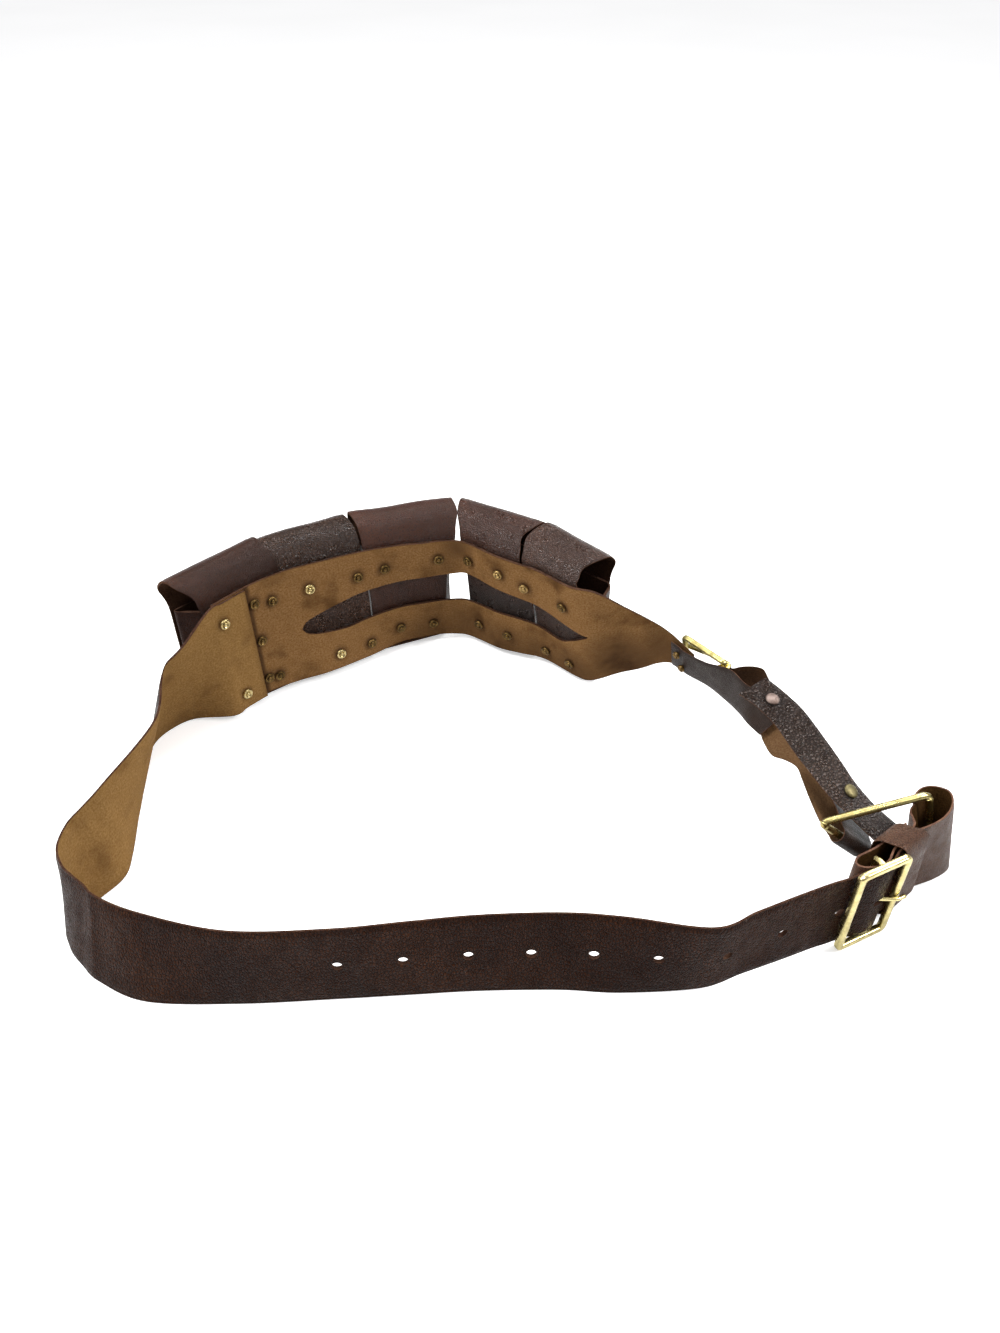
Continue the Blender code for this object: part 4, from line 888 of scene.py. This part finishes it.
tip_rows = []
for share in (0.948, 0.968, 0.988):
    across = Vector(panel_row(share)[3:6])
    spare = (across.length - NARROW_WIDTH) / 2
    across.normalize()
    foot, _ = panel_frame(share, 0.0, PANEL_THICKNESS / 2 + GAP + NARROW_THICKNESS / 2 + LIE)
    tip_rows.append([*(foot + across * spare), *(across * NARROW_WIDTH)])
tip_stains = [panel_spot(share, height, *TIP_STAIN) for share, height, through in RIVET_ROWS if through == 2]
narrow_grain = surface(
    "narrow_grain", "grain_side", 0.2, deep=(0.02, 0.0115, 0.008), warm=(0.04, 0.024, 0.017),
    pale=(0.26, 0.2, 0.17), pebble=0.0008, relief=0.00022, gloss=0.38, wear=0.7, across=0.9)
narrow_suede = surface(
    "narrow_suede", "flesh_side", 0.05, base=(0.088, 0.046, 0.02), light=(0.152, 0.086, 0.042),
    dark=(0.038, 0.016, 0.007), rubbed=0.6)
narrow_edge = surface(
    "narrow_edge", "cut_edge", 0.05, dyed=(0.06, 0.026, 0.016), raw=(0.2, 0.11, 0.07), bare=0.5)
tip_rows += free_rows(TIP_ROWS, PANEL_HEIGHT, NARROW_WIDTH)
finished(narrow_skin("tip_strap_leather", finer(tip_rows, 0.0014), tip_stains),
         "tip_strap", (narrow_grain, narrow_suede, narrow_edge))


# The side buckle and its tongue.
# A small brass frame stands outside the tip strap and leans with it; the ring strap's fold is its hinge.
SIDE_WIRE = 0.0013
SIDE_STOUTNESS = 1.2
SIDE_TONGUE_STOUTNESS = 1.5
SIDE_BUCKLE_LENGTH = 0.0300
SIDE_TOP = (0.2841, 0.6596, 0.697)
SIDE_HEADING = math.radians(-51.2)
SIDE_LEAN = math.radians(15)
# The tongue's free points: share of the buckle's length, share of its hook's radius, drop in metres.
SIDE_TONGUE = ((0.30, 1.0, 0.0008), (0.65, 1.05, 0.0045), (1.05, 1.15, 0.0085))
side_along = Vector((math.cos(SIDE_HEADING), math.sin(SIDE_HEADING), 0))
side_out = Vector((-side_along.y, side_along.x, 0))
side_up = Vector((0, 0, math.cos(SIDE_LEAN))) - side_out * math.sin(SIDE_LEAN)
side_face = side_along.cross(side_up) * -1
side_tongue_wire = TONGUE_WIRE * 0.75
side_rise = NARROW_WIDTH + 2 * (SIDE_WIRE + side_tongue_wire) + 8 * GAP
hinge_top = plan(SIDE_TOP[0], SIDE_TOP[1], SIDE_TOP[2] * PANEL_HEIGHT)


def at_hinge(along, out, down):
    """A point beside the side buckle's hinge bar: along its frame, out of it and down from its top."""
    return hinge_top + side_along * along + side_face * out - side_up * down


side_brass = metal(
    "side_brass", bright=(0.56, 0.48, 0.19), dull=(0.15, 0.12, 0.035), polish=0.26, tarnish=0.6)
side_corners = [at_hinge(along, 0, down) for along, down in (
    (-SIDE_BUCKLE_LENGTH, 0), (0, 0), (0, side_rise), (-SIDE_BUCKLE_LENGTH, side_rise))]
finished(wire("side_buckle_brass", rounded_loop(side_corners, BUCKLE_CORNER), SIDE_WIRE * SIDE_STOUTNESS,
              True, 0.7, side_face),
         "side_buckle", (side_brass,), rounding=0)
side_hook = SIDE_WIRE + GAP + side_tongue_wire
side_drop = SIDE_WIRE + 2 * GAP + side_tongue_wire
side_tongue_points = hooked((0, 0), side_hook, range(-150, 90, 16), lambda u, v: at_hinge(u, v, side_drop))
side_tongue_points += [at_hinge(-SIDE_BUCKLE_LENGTH * share, side_hook * out, side_drop + drop)
                       for share, out, drop in SIDE_TONGUE]
finished(wire("side_tongue_brass", side_tongue_points, side_tongue_wire * SIDE_TONGUE_STOUTNESS, False, 0.4,
              side_up, (0.8, 1.0)),
         "side_tongue", (side_brass,), rounding=0.0002)


# The ring strap.
# It starts with a fold on the side buckle, bulges out, runs flesh side up under the stud strap, rolls round
# the ring's short side and ends in a tail on top.
# The free run. Columns as in the tip strap's table.
RING_STRAP_ROWS = (
    (0.3143, 0.6667, 0.401, -0.13, -0.08, 0.98), (0.3266, 0.6585, 0.409, -0.07, -0.03, 0.995),
    (0.333, 0.6419, 0.421, -0.02, 0.01, 1), (0.3318, 0.6148, 0.424, 0.06, 0.03, 0.99),
    (0.3273, 0.5722, 0.414, 0.27, 0.08, 0.93), (0.3232, 0.535, 0.408, 0.57, 0.3, 0.75),
    (0.323, 0.5093, 0.412, 0.74, 0.4, 0.48), (0.3284, 0.4704, 0.414, 0.7, 0.42, 0.53),
    (0.3398, 0.4481, 0.447, 0.72, 0.45, 0.47), (0.3477, 0.4148, 0.5, 0.85, 0.45, 0.17),
    (0.3468, 0.3704, 0.539, 0.9, 0.35, -0.1), (0.3475, 0.3163, 0.553, 0.89, 0.2, -0.4),
    (0.3534, 0.2704, 0.52, 0.78, 0.1, -0.62),
)
ROLL_RADIUS = 0.0042
ROLL_START = 0.0128
# How much wider the strap is at the end of the roll and in the tail, whose columns are: distance back,
# share of the roll's radius.
ROLL_SPREAD = 0.0045
TAIL_SPREAD = 0.0050
TAIL_ROWS = ((0.0060, 1.02), (0.0115, 1.02), (0.0165, 0.98), (0.0205, 0.80), (0.0235, 0.55))
# Painted shade inside the ring strap's bulge, on its flesh side.
BULGE_SHADE = (0.013, 0.95)
wrap = SIDE_WIRE + GAP + NARROW_THICKNESS / 2
fold_low = side_rise - SIDE_WIRE - 3 * GAP
fold_points = [at_hinge(0.0110, -wrap * 1.15, fold_low), at_hinge(0.0050, -wrap * 1.05, fold_low)]
fold_points += hooked((0, 0), wrap, (-90, -130, -180, -230, -270), lambda u, v: at_hinge(u, v, fold_low))
fold_points.append(at_hinge(0.0035, wrap * 1.08, fold_low))
free_run = free_rows(RING_STRAP_ROWS, PANEL_HEIGHT, NARROW_WIDTH)
ring_strap_rows = [[*point, *(side_up * NARROW_WIDTH)] for point in fold_points] + free_run
short_side = (ring_corners[3] - ring_corners[0]).normalized()
roll_end = ring_corners[0] + short_side * ROLL_START
roll_back = Vector((0, 1, 0)) - short_side * short_side.y
roll_back.normalize()
roll_up = short_side.cross(roll_back)
for a in range(-75, -286, -30):
    turn = math.radians(a)
    spread = ROLL_SPREAD * max(0.0, (-a - 165) / 120)
    around = roll_end + (roll_back * math.cos(turn) + roll_up * math.sin(turn)) * ROLL_RADIUS
    ring_strap_rows.append([*around, *(short_side * (NARROW_WIDTH + spread))])
for back, rise in TAIL_ROWS:
    behind = roll_end + roll_back * back + roll_up * ROLL_RADIUS * rise
    ring_strap_rows.append([*behind, *(short_side * (NARROW_WIDTH + TAIL_SPREAD))])
bulge_shade = [(level_point(row, k / 4), *BULGE_SHADE) for row in free_run[:4] for k in range(5)]
finished(narrow_skin("ring_strap_leather", finer(ring_strap_rows, 0.0013), bulge_shade),
         "ring_strap", (narrow_suede, narrow_grain, narrow_edge))


# The stud strap and its two studs.
# It lies over the ring strap with its pebbled grain up and runs under the ring. Each stud stands in a hole.
# Columns as in the tip strap's table.
STUD_STRAP_ROWS = (
    (0.2855, 0.5304, 0.797, 0.81, 0.58, 0.07), (0.3011, 0.5007, 0.789, 0.82, 0.55, 0.03),
    (0.3157, 0.4693, 0.763, 0.85, 0.53, 0.01), (0.3232, 0.443, 0.75, 0.87, 0.49, 0.01),
    (0.335, 0.3893, 0.724, 0.9, 0.43, 0), (0.3489, 0.3407, 0.691, 0.85, 0.52, -0.04),
    (0.3627, 0.3004, 0.651, 0.78, 0.59, -0.08), (0.3761, 0.2793, 0.612, 0.76, 0.61, -0.17),
    (0.387, 0.2581, 0.579, 0.78, 0.6, -0.2), (0.4048, 0.2281, 0.526, 0.78, 0.6, -0.15),
)
# Columns: shares along and across the strap.
STRAP_STUDS = ((0.150, 0.50), (0.735, 0.62))
STRAP_STUD_RADIUS = 0.0038
STUD_STAIN = (0.0062, 0.75)
SHANK_RADIUS = 0.0013
TAIL_DEPTH = 0.0008
# The head's outline. Columns: share of its radius, height above the leather.
STRAP_STUD_HEAD = (
    (0.98, 0), (1.00, 0.0003), (0.95, 0.0007), (0.80, 0.0010), (0.50, 0.0013), (0.20, 0.0014), (0.0, 0.0014),
)


def turned(name, profile, centre, axis, sides=28):
    """A turned metal piece, whose profile of (radius, height) rows runs from bottom to top."""
    shape = bmesh.new()
    rings = []
    for radius, height in profile:
        if radius == 0.0:
            rings.append([shape.verts.new((0, 0, height))] * sides)
        else:
            rings.append([
                shape.verts.new((radius * math.cos(2 * math.pi * k / sides),
                                 radius * math.sin(2 * math.pi * k / sides), height)) for k in range(sides)])
    bridged(shape, rings)
    bmesh.ops.recalc_face_normals(shape, faces=shape.faces)
    shape.transform(Matrix.Translation(centre) @ axis.to_track_quat("Z", "Y").to_matrix().to_4x4())
    return placed(name, shape)


def head(rows, radius, height):
    """A head's outline at its size, on top of this height."""
    return [(share * radius, height + above) for share, above in rows]


stud_rows = free_rows(STUD_STRAP_ROWS, PANEL_HEIGHT, NARROW_WIDTH)
stud_places = []
stud_holes = []
rows = finer(stud_rows, 0.0080)
for along_share, across_share in STRAP_STUDS:
    place = along_share * (len(rows) - 1)
    row = between(rows, place)
    along = level_point(rows[int(place) + 1], across_share) - level_point(rows[int(place)], across_share)
    centre = level_point(row, across_share)
    up = along.cross(Vector(row[3:6])).normalized()
    up = -up if up.z < 0 else up
    stud_places.append((centre, up))
    stud_holes.append(round_cutter(centre, up, SHANK_RADIUS + GAP, 4 * NARROW_THICKNESS))
stud_grain = surface(
    "stud_grain", "grain_side", 0.55, deep=(0.034, 0.019, 0.013), warm=(0.085, 0.052, 0.037),
    pale=(0.34, 0.26, 0.2), pebble=0.0017, relief=0.0017, gloss=0.28, wear=0.4, across=0.9)
finished(narrow_skin("stud_strap_leather", finer(stud_rows, 0.0013),
                     [(centre, *STUD_STAIN) for centre, up in stud_places]),
         "stud_strap", (stud_grain, narrow_suede, narrow_edge), stud_holes)
pale_metal = metal(
    "pale_metal", bright=(0.26, 0.2, 0.175), dull=(0.09, 0.058, 0.045), polish=0.5, tarnish=0.8)
aged_brass = metal(
    "aged_brass", bright=(0.2, 0.17, 0.085), dull=(0.045, 0.035, 0.016), polish=0.45, tarnish=0.9)
half = NARROW_THICKNESS / 2 + GAP
for i, (centre, up) in enumerate(stud_places):
    strap_stud = turned(f"strap_stud_{i + 1}_metal", [
        (0.0, -half - TAIL_DEPTH), (SHANK_RADIUS * 2.0, -half - TAIL_DEPTH), (SHANK_RADIUS * 2.0, -half),
        (SHANK_RADIUS, -half), (SHANK_RADIUS, half), *head(STRAP_STUD_HEAD, STRAP_STUD_RADIUS, half)
    ], centre, up)
    finished(strap_stud, f"strap_stud_{i + 1}", ((pale_metal, aged_brass)[i],), rounding=0)


# The five pouches.
# Each is a body closed by a flap: one piece of leather runs up behind the body, rolls over it and comes down
# the front to a stud. The rolls are open at both ends.
POUCH_HEIGHT = 0.099
POUCH_DEPTH = 0.028
POUCH_THICKNESS = 0.0018
BODY_THICKNESS = 0.0016
BODY_TOP = 0.735
BODY_INSET = 0.045
BODY_FRONT = 0.87
BODY_CORNER = 0.0050
BODY_LEVELS = 24
STUD_RADIUS = 0.0045
STUD_LEVEL = 0.36
STUD_OUT = 0.885
FLAP_STAIN = (0.0085, 0.6)
BACK_SHADE_RADIUS = 0.0200
# The hanging front of a flap is narrower and closer by these shares, from this level down.
HANG_INSET = 0.14
HANG_CLOSER = 0.13
HANG_LEVEL = 0.90
HANG_REACH = 0.16
# The crest is fuller by this share, and its leather is uneven by this many metres. With a fixed seed, this
# unevenness is the same each time that the script runs.
CREST_FULLER = 0.06
CREST_UNEVEN = 0.0011
CREST_SEED = 1795843417
noise.seed_set(CREST_SEED)
# How far each end of a flap's roll leans along the pouch, in metres: at the foot, halfway up and at the crest,
# first at the left end and then at the right end.
ROLL_ENDS = (
    (-0.0065, -0.008, 0, 0, -0.0028, -0.0018), (-0.003, -0.006, -0.0052, -0.002, -0.0022, -0.0022),
    (-0.002, -0.0025, -0.0025, 0.0075, 0.0052, -0.002), (-0.0038, -0.004, -0.0005, -0.0085, -0.0077, 0.001),
    (-0.0085, -0.008, -0.0012, -0.01, -0.0094, -0.002),
)
# How much painted shade darkens the back wall of each pouch behind the slot.
BACK_SHADE = (0.5, 0.0, 0.30, 0.92, 0.45)
# Columns: start and end as shares of the panel's length, then for the left and the right end of the flap's
# crest its x share, y share and height share.
POUCH_ROWS = (
    (0.015, 0.153, -0.4091, 0.7074, 0.99, -0.3136, 0.8704, 1),
    (0.162, 0.314, -0.3034, 0.8704, 0.99, -0.2045, 0.9648, 0.99),
    (0.318, 0.468, -0.1977, 0.9722, 0.99, -0.0614, 1.0389, 0.98),
    (0.515, 0.661, -0.0545, 1.0407, 0.97, 0.0518, 0.9567, 0.944),
    (0.666, 0.801, 0.0609, 0.9556, 0.939, 0.1409, 0.85, 0.879),
)
# The back wall. Columns: share of the panel's height, and how much of the lean at the roll's foot it has.
BACK_ROWS = ((0.06, 0), (0.40, 0), (0.72, 0.3), (0.97, 1))
# The roll from the back wall to the crest: share of the way out, share of the rise.
ROLL_UP = (
    (0.1, 0.48), (0.42, 0.86), (1, 1),
)
# The roll from the crest down the front: share of half the depth, share of the crest's height.
ROLL_DOWN = (
    (0.48, 0.965), (0.86, 0.885), (1, 0.76), (1.03, 0.52), (1, 0.27),
)
# Columns: pebble size, relief, roughness, shine, and the red, green and blue of the leather's warm patches.
POUCH_LOOKS = (
    (0.0009, 0.0004, 0.34, 0.3, 0.07, 0.0225, 0.01), (0.0013, 0.0012, 0.28, 0.4, 0.088, 0.044, 0.027),
    (0.0009, 0.00034, 0.34, 0.34, 0.088, 0.028, 0.013), (0.0011, 0.0008, 0.3, 0.45, 0.112, 0.048, 0.031),
    (0.0011, 0.0008, 0.3, 0.45, 0.112, 0.056, 0.038),
)
# The deep and warm tones of the flaps and the bodies, as shares of that red, green and blue. The bodies'
# lower shares are painted shade, for the bodies sit under the flaps.
FLAP_DEEP = (0.55, 0.55, 0.55)
FLAP_WARM = (1, 1, 1)
BODY_SHADED_DEEP = (0.32, 0.30, 0.30)
BODY_SHADED_WARM = (0.60, 0.55, 0.50)
# The stud's head. Columns: share of its radius, height above the flap.
POUCH_STUD_HEAD = ((0.98, 0.0006), (1, 0.0011), (0.94, 0.0018), (0.75, 0.0024), (0.4, 0.0028), (0, 0.0030))
back_out = PANEL_THICKNESS / 2 + GAP + LIE + POUCH_THICKNESS / 2
rivets_back = back_out + POUCH_THICKNESS / 2
body_out = rivets_back + 2 * GAP + TAIL_DEPTH + LIE
body_front = BODY_FRONT * POUCH_DEPTH / 2 - POUCH_THICKNESS / 2 - BODY_THICKNESS / 2 - 2 * GAP
ground = BELT_PLACE.z
pouch_flesh = surface(
    "pouch_flesh", "flesh_side", 0.05, base=(0.045, 0.021, 0.012), light=(0.08, 0.04, 0.024),
    dark=(0.018, 0.008, 0.005), rubbed=0.5)
pouch_edge = surface(
    "pouch_edge", "cut_edge", 0.0, dyed=(0.05, 0.024, 0.016), raw=(0.14, 0.08, 0.055), bare=0.55)
pouch_brass = metal("pouch_brass", tarnish=0.6)


def pouch_grain(name, looks, specular, wear, deep, warm):
    """A pouch's leather, whose deep and warm colours are shares of its red, green and blue."""
    pebble, relief, gloss = looks[:3]
    deep, warm = [tuple(a * b for a, b in zip(looks[4:], tone)) for tone in (deep, warm)]
    return surface(name, "grain_side", specular, deep=deep, warm=warm, pebble=pebble, relief=relief,
                   gloss=gloss, wear=wear, across=0.9)


def flap_line(n, s, start, end, left, right, outward):
    """One line of a flap, up its back, over the crest and down the front, at the share s of its width."""
    low_end, middle_end, high_end = [
        ROLL_ENDS[n][k] * (1 - s) + ROLL_ENDS[n][k + 3] * s for k in range(3)]
    share = start + (end - start) * s
    line = [panel_frame(share + part * low_end / panel_length, level, -back_out)[0]
            for level, part in BACK_ROWS]
    foot = line[-1]
    width_way = (right - left).normalized()
    crest = left.lerp(right, s) + width_way * high_end
    for way, rise in ROLL_UP:
        sway = 4 * way * (1 - way) * (middle_end - (low_end + high_end) / 2)
        flat = foot.lerp(crest, way) + width_way * sway
        line.append(Vector((flat.x, flat.y, foot.z + (crest.z - foot.z) * rise)))
    for way, level in ROLL_DOWN:
        hung = min(1.0, max(0.0, (HANG_LEVEL - level) / HANG_REACH))
        way *= 1.0 + (CREST_FULLER if level > 0.80 else -HANG_CLOSER * hung)
        flat = crest + outward * (way * POUCH_DEPTH / 2) + (right - left) * (hung * (0.5 - s) * HANG_INSET)
        line.append(Vector((flat.x, flat.y, ground + (crest.z - ground) * level)))
    fine_line = [Vector(smooth_row(line, k / 5)) for k in range(5 * (len(line) - 1) + 1)]
    for p in fine_line:
        swell = max(0.0, math.sin(math.pi * s)) * max(0.0, (p.z - 0.070) / 0.030)
        p += noise.noise_vector(Vector((n * 3.1, s * 1.6, p.z * 22))) * CREST_UNEVEN * swell
    return fine_line


def body_ring(z, start, end, left, right, outward):
    """A pouch body's outline at a height over the ground: left side, front with round corners, right side."""
    ends = []
    for s in (BODY_INSET, 1 - BODY_INSET):
        share = start + (end - start) * s
        foot = panel_row(share)
        back = panel_frame(share, (z + ground - foot[2]) / foot[5], -body_out)[0]
        front = left.lerp(right, s) + outward * body_front
        ends += [Vector((p.x, p.y, z + ground)) for p in (back, front)]
    left_back, left_front, right_back, right_front = ends
    points = [left_back.lerp(left_front, k / 8) for k in range(7)]
    front_way = (right_front - left_front).normalized() * BODY_CORNER
    points += rounded_corner(left_front + (left_back - left_front).normalized() * BODY_CORNER, left_front,
                             left_front + front_way, 7)
    first = right_front - front_way
    points += [points[-1].lerp(first, k / 14) for k in range(1, 14)]
    points += rounded_corner(first, right_front,
                             right_front + (right_back - right_front).normalized() * BODY_CORNER, 7)
    return points + [right_front.lerp(right_back, 0.25 + k / 8) for k in range(7)]


for n, (start, end, left_x, left_y, left_z, right_x, right_y, right_z) in enumerate(POUCH_ROWS):
    left = plan(left_x, left_y, left_z * POUCH_HEIGHT)
    right = plan(right_x, right_y, right_z * POUCH_HEIGHT)
    across = (right - left).to_2d().normalized()
    outward = Vector((-across.y, across.x, 0))
    middle = left.lerp(right, 0.5)
    low = middle + outward * (STUD_OUT * POUCH_DEPTH / 2)
    stud_centre = Vector((low.x, low.y, ground + (middle.z - ground) * STUD_LEVEL))
    stud_hole = round_cutter(stud_centre, outward, SHANK_RADIUS + GAP, 4 * POUCH_THICKNESS)
    back_points = [panel_frame(start + (end - start) * k / 8, 0.45, -back_out)[0] for k in range(9)]
    # Painted shade on the pouch's back wall behind the slot.
    back_shade = [(point, BACK_SHADE_RADIUS, BACK_SHADE[n]) for point in back_points]
    reach = (start, end, left, right, outward)
    flap_lines = [flap_line(n, s, *reach) for s in shares((right - left).length, 0.0022)]
    flap = skin(f"pouch_flap_{n + 1}_leather", flap_lines, POUCH_THICKNESS,
                [(stud_centre, *FLAP_STAIN)] + back_shade)
    flap_grain = pouch_grain(f"pouch_grain_{n + 1}", POUCH_LOOKS[n], POUCH_LOOKS[n][3], 0.25, FLAP_DEEP,
                             FLAP_WARM)
    finished(flap, f"pouch_flap_{n + 1}", (flap_grain, pouch_flesh, pouch_edge), [stud_hole])

    body_height = (min(left.z, right.z) - ground) * BODY_TOP
    outline = [body_ring(BODY_THICKNESS / 2 + (body_height - BODY_THICKNESS / 2) * k / BODY_LEVELS, *reach)
               for k in range(BODY_LEVELS + 1)]
    body = skin(f"pouch_body_{n + 1}_leather", list(zip(*outline)), BODY_THICKNESS, even=False)
    shape = bmesh.new()
    shape.from_mesh(body.data)
    bottom = [v for v in shape.verts if v.co.z < ground + BODY_THICKNESS * 0.9]
    centre = sum((v.co for v in bottom), Vector()) / len(bottom)
    bottom.sort(key=lambda v: math.atan2(v.co.y - centre.y, v.co.x - centre.x))
    shape.faces.new(bottom)
    bmesh.ops.recalc_face_normals(shape, faces=shape.faces)
    shape.to_mesh(body.data)
    shape.free()
    # A darker copy of the pouch's leather: painted shade on the body under the flap.
    shaded_body_grain = pouch_grain(f"body_grain_{n + 1}", POUCH_LOOKS[n], 0.05, 0.2, BODY_SHADED_DEEP, BODY_SHADED_WARM)
    finished(body, f"pouch_body_{n + 1}", (shaded_body_grain, pouch_flesh, pouch_edge))

    half = POUCH_THICKNESS / 2
    pouch_stud = turned(f"pouch_stud_{n + 1}_brass", [
        (0.0, -half), (SHANK_RADIUS, -half), (SHANK_RADIUS, half + 2 * GAP),
        *head(POUCH_STUD_HEAD, STUD_RADIUS, half)], stud_centre, outward)
    finished(pouch_stud, f"pouch_stud_{n + 1}", (pouch_brass,), rounding=0)


# The rivets.
# Small dished brass rivets hold the pouches to the panel, the panel to the front strap and the tip strap to
# the panel. A few are still bright, and the others are dark with age.
RIVET_RADIUS = 0.003168
TIP_RIVET_RADIUS = 0.00252
RIVET_TAIL_RADIUS = 0.0030
BRIGHT_RIVETS = (1, 4, 12, 14)
FADED_RIVETS = (9, 10)
# The dished head. Columns: share of its radius, height above the leather.
RIVET_HEAD = (
    (0.97, 0), (1.00, 0.0003), (0.95, 0.0009), (0.82, 0.0013), (0.68, 0.0012), (0.54, 0.0007), (0.44, 0.0005),
    (0.40, 0.0008), (0.34, 0.0013), (0.18, 0.0016), (0.0, 0.0016),
)
bright_brass = metal(
    "bright_brass", bright=(0.52, 0.42, 0.2), dull=(0.2, 0.14, 0.055), polish=0.26, tarnish=0.6)
dark_brass = metal(
    "dark_brass", bright=(0.16, 0.1, 0.035), dull=(0.045, 0.026, 0.009), polish=0.36, tarnish=0.8)
faded_brass = metal(
    "faded_brass", bright=(0.34, 0.23, 0.09), dull=(0.11, 0.066, 0.024), polish=0.32, tarnish=0.7)
for i, (share, height, through) in enumerate(RIVET_ROWS):
    centre, inward_normal = panel_frame(share, height)
    head_from = PANEL_THICKNESS / 2 + GAP + LIE
    tail_from = rivets_back + GAP
    if through == 1:
        head_from += STRAP_THICKNESS + GAP + LIE
    if through == 2:
        head_from += NARROW_THICKNESS + GAP + LIE
        tail_from = PANEL_THICKNESS / 2 + GAP
    rivet = turned(f"rivet_{i + 1:02d}_brass", [
        (0.0, -tail_from - TAIL_DEPTH), (RIVET_TAIL_RADIUS * 0.8, -tail_from - TAIL_DEPTH),
        (RIVET_TAIL_RADIUS, -tail_from - TAIL_DEPTH / 2), (RIVET_TAIL_RADIUS, -tail_from),
        (SHANK_RADIUS, -tail_from), (SHANK_RADIUS, head_from),
        *head(RIVET_HEAD, TIP_RIVET_RADIUS if through == 2 else RIVET_RADIUS, head_from)
    ], centre, inward_normal)
    brass = bright_brass if i + 1 in BRIGHT_RIVETS else faded_brass if i + 1 in FADED_RIVETS else dark_brass
    finished(rivet, f"rivet_{i + 1:02d}", (brass,), rounding=0, sharp=60)


# The stage.
# A plain pale floor under soft studio light, seen by a camera at the photo's angle.
FLOOR_SIZE = 14.0
PAPER_TONES = ((0.86, 0.86, 0.86, 1), (0.89, 0.89, 0.89, 1))
PAPER_GLOW = 0.48
SKY_TONES = ((0.12, 0.12, 0.12, 1), (0.62, 0.62, 0.63, 1))
WHITE = (1.0, 1.0, 1.0, 1)
# Columns: name, place, aim, size, power.
LIGHTS = (
    ("overhead", (0.10, 0.55, 1.40), (0.0, 0.0, 0.0), 0.9, 11.0),
    ("left", (-1.30, -0.25, 0.55), (0.0, 0.0, 0.05), 0.4, 7.0),
    ("front_left", (-0.70, -0.25, 1.10), (0.0, 0.10, 0.08), 0.30, 12.0),
    ("right", (1.00, -0.20, 1.00), (0.0, 0.0, 0.05), 0.4, 12.5),
    ("back", (0.75, 0.95, 1.00), (0.12, 0.0, 0.05), 0.30, 10.0),
)
CAMERA_PLACE = (-0.009855, -0.396901, 0.409932)
CAMERA_TILT = math.radians(50)
CAMERA_LENS = 27.0
scene = bpy.context.scene
shape = bmesh.new()
bmesh.ops.create_grid(shape, x_segments=1, y_segments=1, size=FLOOR_SIZE)
floor = placed("floor", shape)
paper = bpy.data.materials.new("paper")
paper.use_nodes = True
tree = paper.node_tree
shader = tree.nodes["Principled BSDF"].inputs
tone = band(tree, cloud(tree, coordinates(tree, "Object"), 0.4, 2.0), 0.3, 0.7)
tree.links.new(blend(tree, tone, *PAPER_TONES), shader["Base Color"])
shader["Roughness"].default_value = 0.9
shader["Specular IOR Level"].default_value = 0.1
shader["Emission Color"].default_value = WHITE
seen = node(tree, "ShaderNodeLightPath").outputs["Is Camera Ray"]
tree.links.new(times(tree, seen, PAPER_GLOW), shader["Emission Strength"])
floor.data.materials.append(paper)

world = bpy.data.worlds.new("studio")
scene.world = world
world.use_nodes = True
tree = world.node_tree
upward = node(tree, "ShaderNodeSeparateXYZ", {0: coordinates(tree, "Generated")}).outputs[2]
sky = blend(tree, band(tree, upward, 0.05, 0.85), *SKY_TONES)
sky = blend(tree, node(tree, "ShaderNodeLightPath").outputs["Is Camera Ray"], sky, WHITE)
tree.links.new(sky, tree.nodes["Background"].inputs["Color"])
tree.nodes["Background"].inputs["Strength"].default_value = 1.0
for name, place, aim, size, power in LIGHTS:
    lamp = bpy.data.lights.new(name, "AREA")
    lamp.shape = "SQUARE"
    lamp.size = size
    lamp.energy = power
    holder = bpy.data.objects.new(name, lamp)
    holder.location = place
    holder.rotation_euler = (Vector(aim) - Vector(place)).to_track_quat("-Z", "Y").to_euler()
    scene.collection.objects.link(holder)

camera_data = bpy.data.cameras.new("camera")
camera_data.sensor_width = 36.0
camera_data.lens = CAMERA_LENS
camera_data.clip_start = 0.01
camera_data.clip_end = 40.0
camera = bpy.data.objects.new("camera", camera_data)
camera.location = CAMERA_PLACE
camera.rotation_euler = (CAMERA_TILT, 0.0, 0.0)
scene.collection.objects.link(camera)
scene.camera = camera
scene.view_settings.view_transform = "Standard"
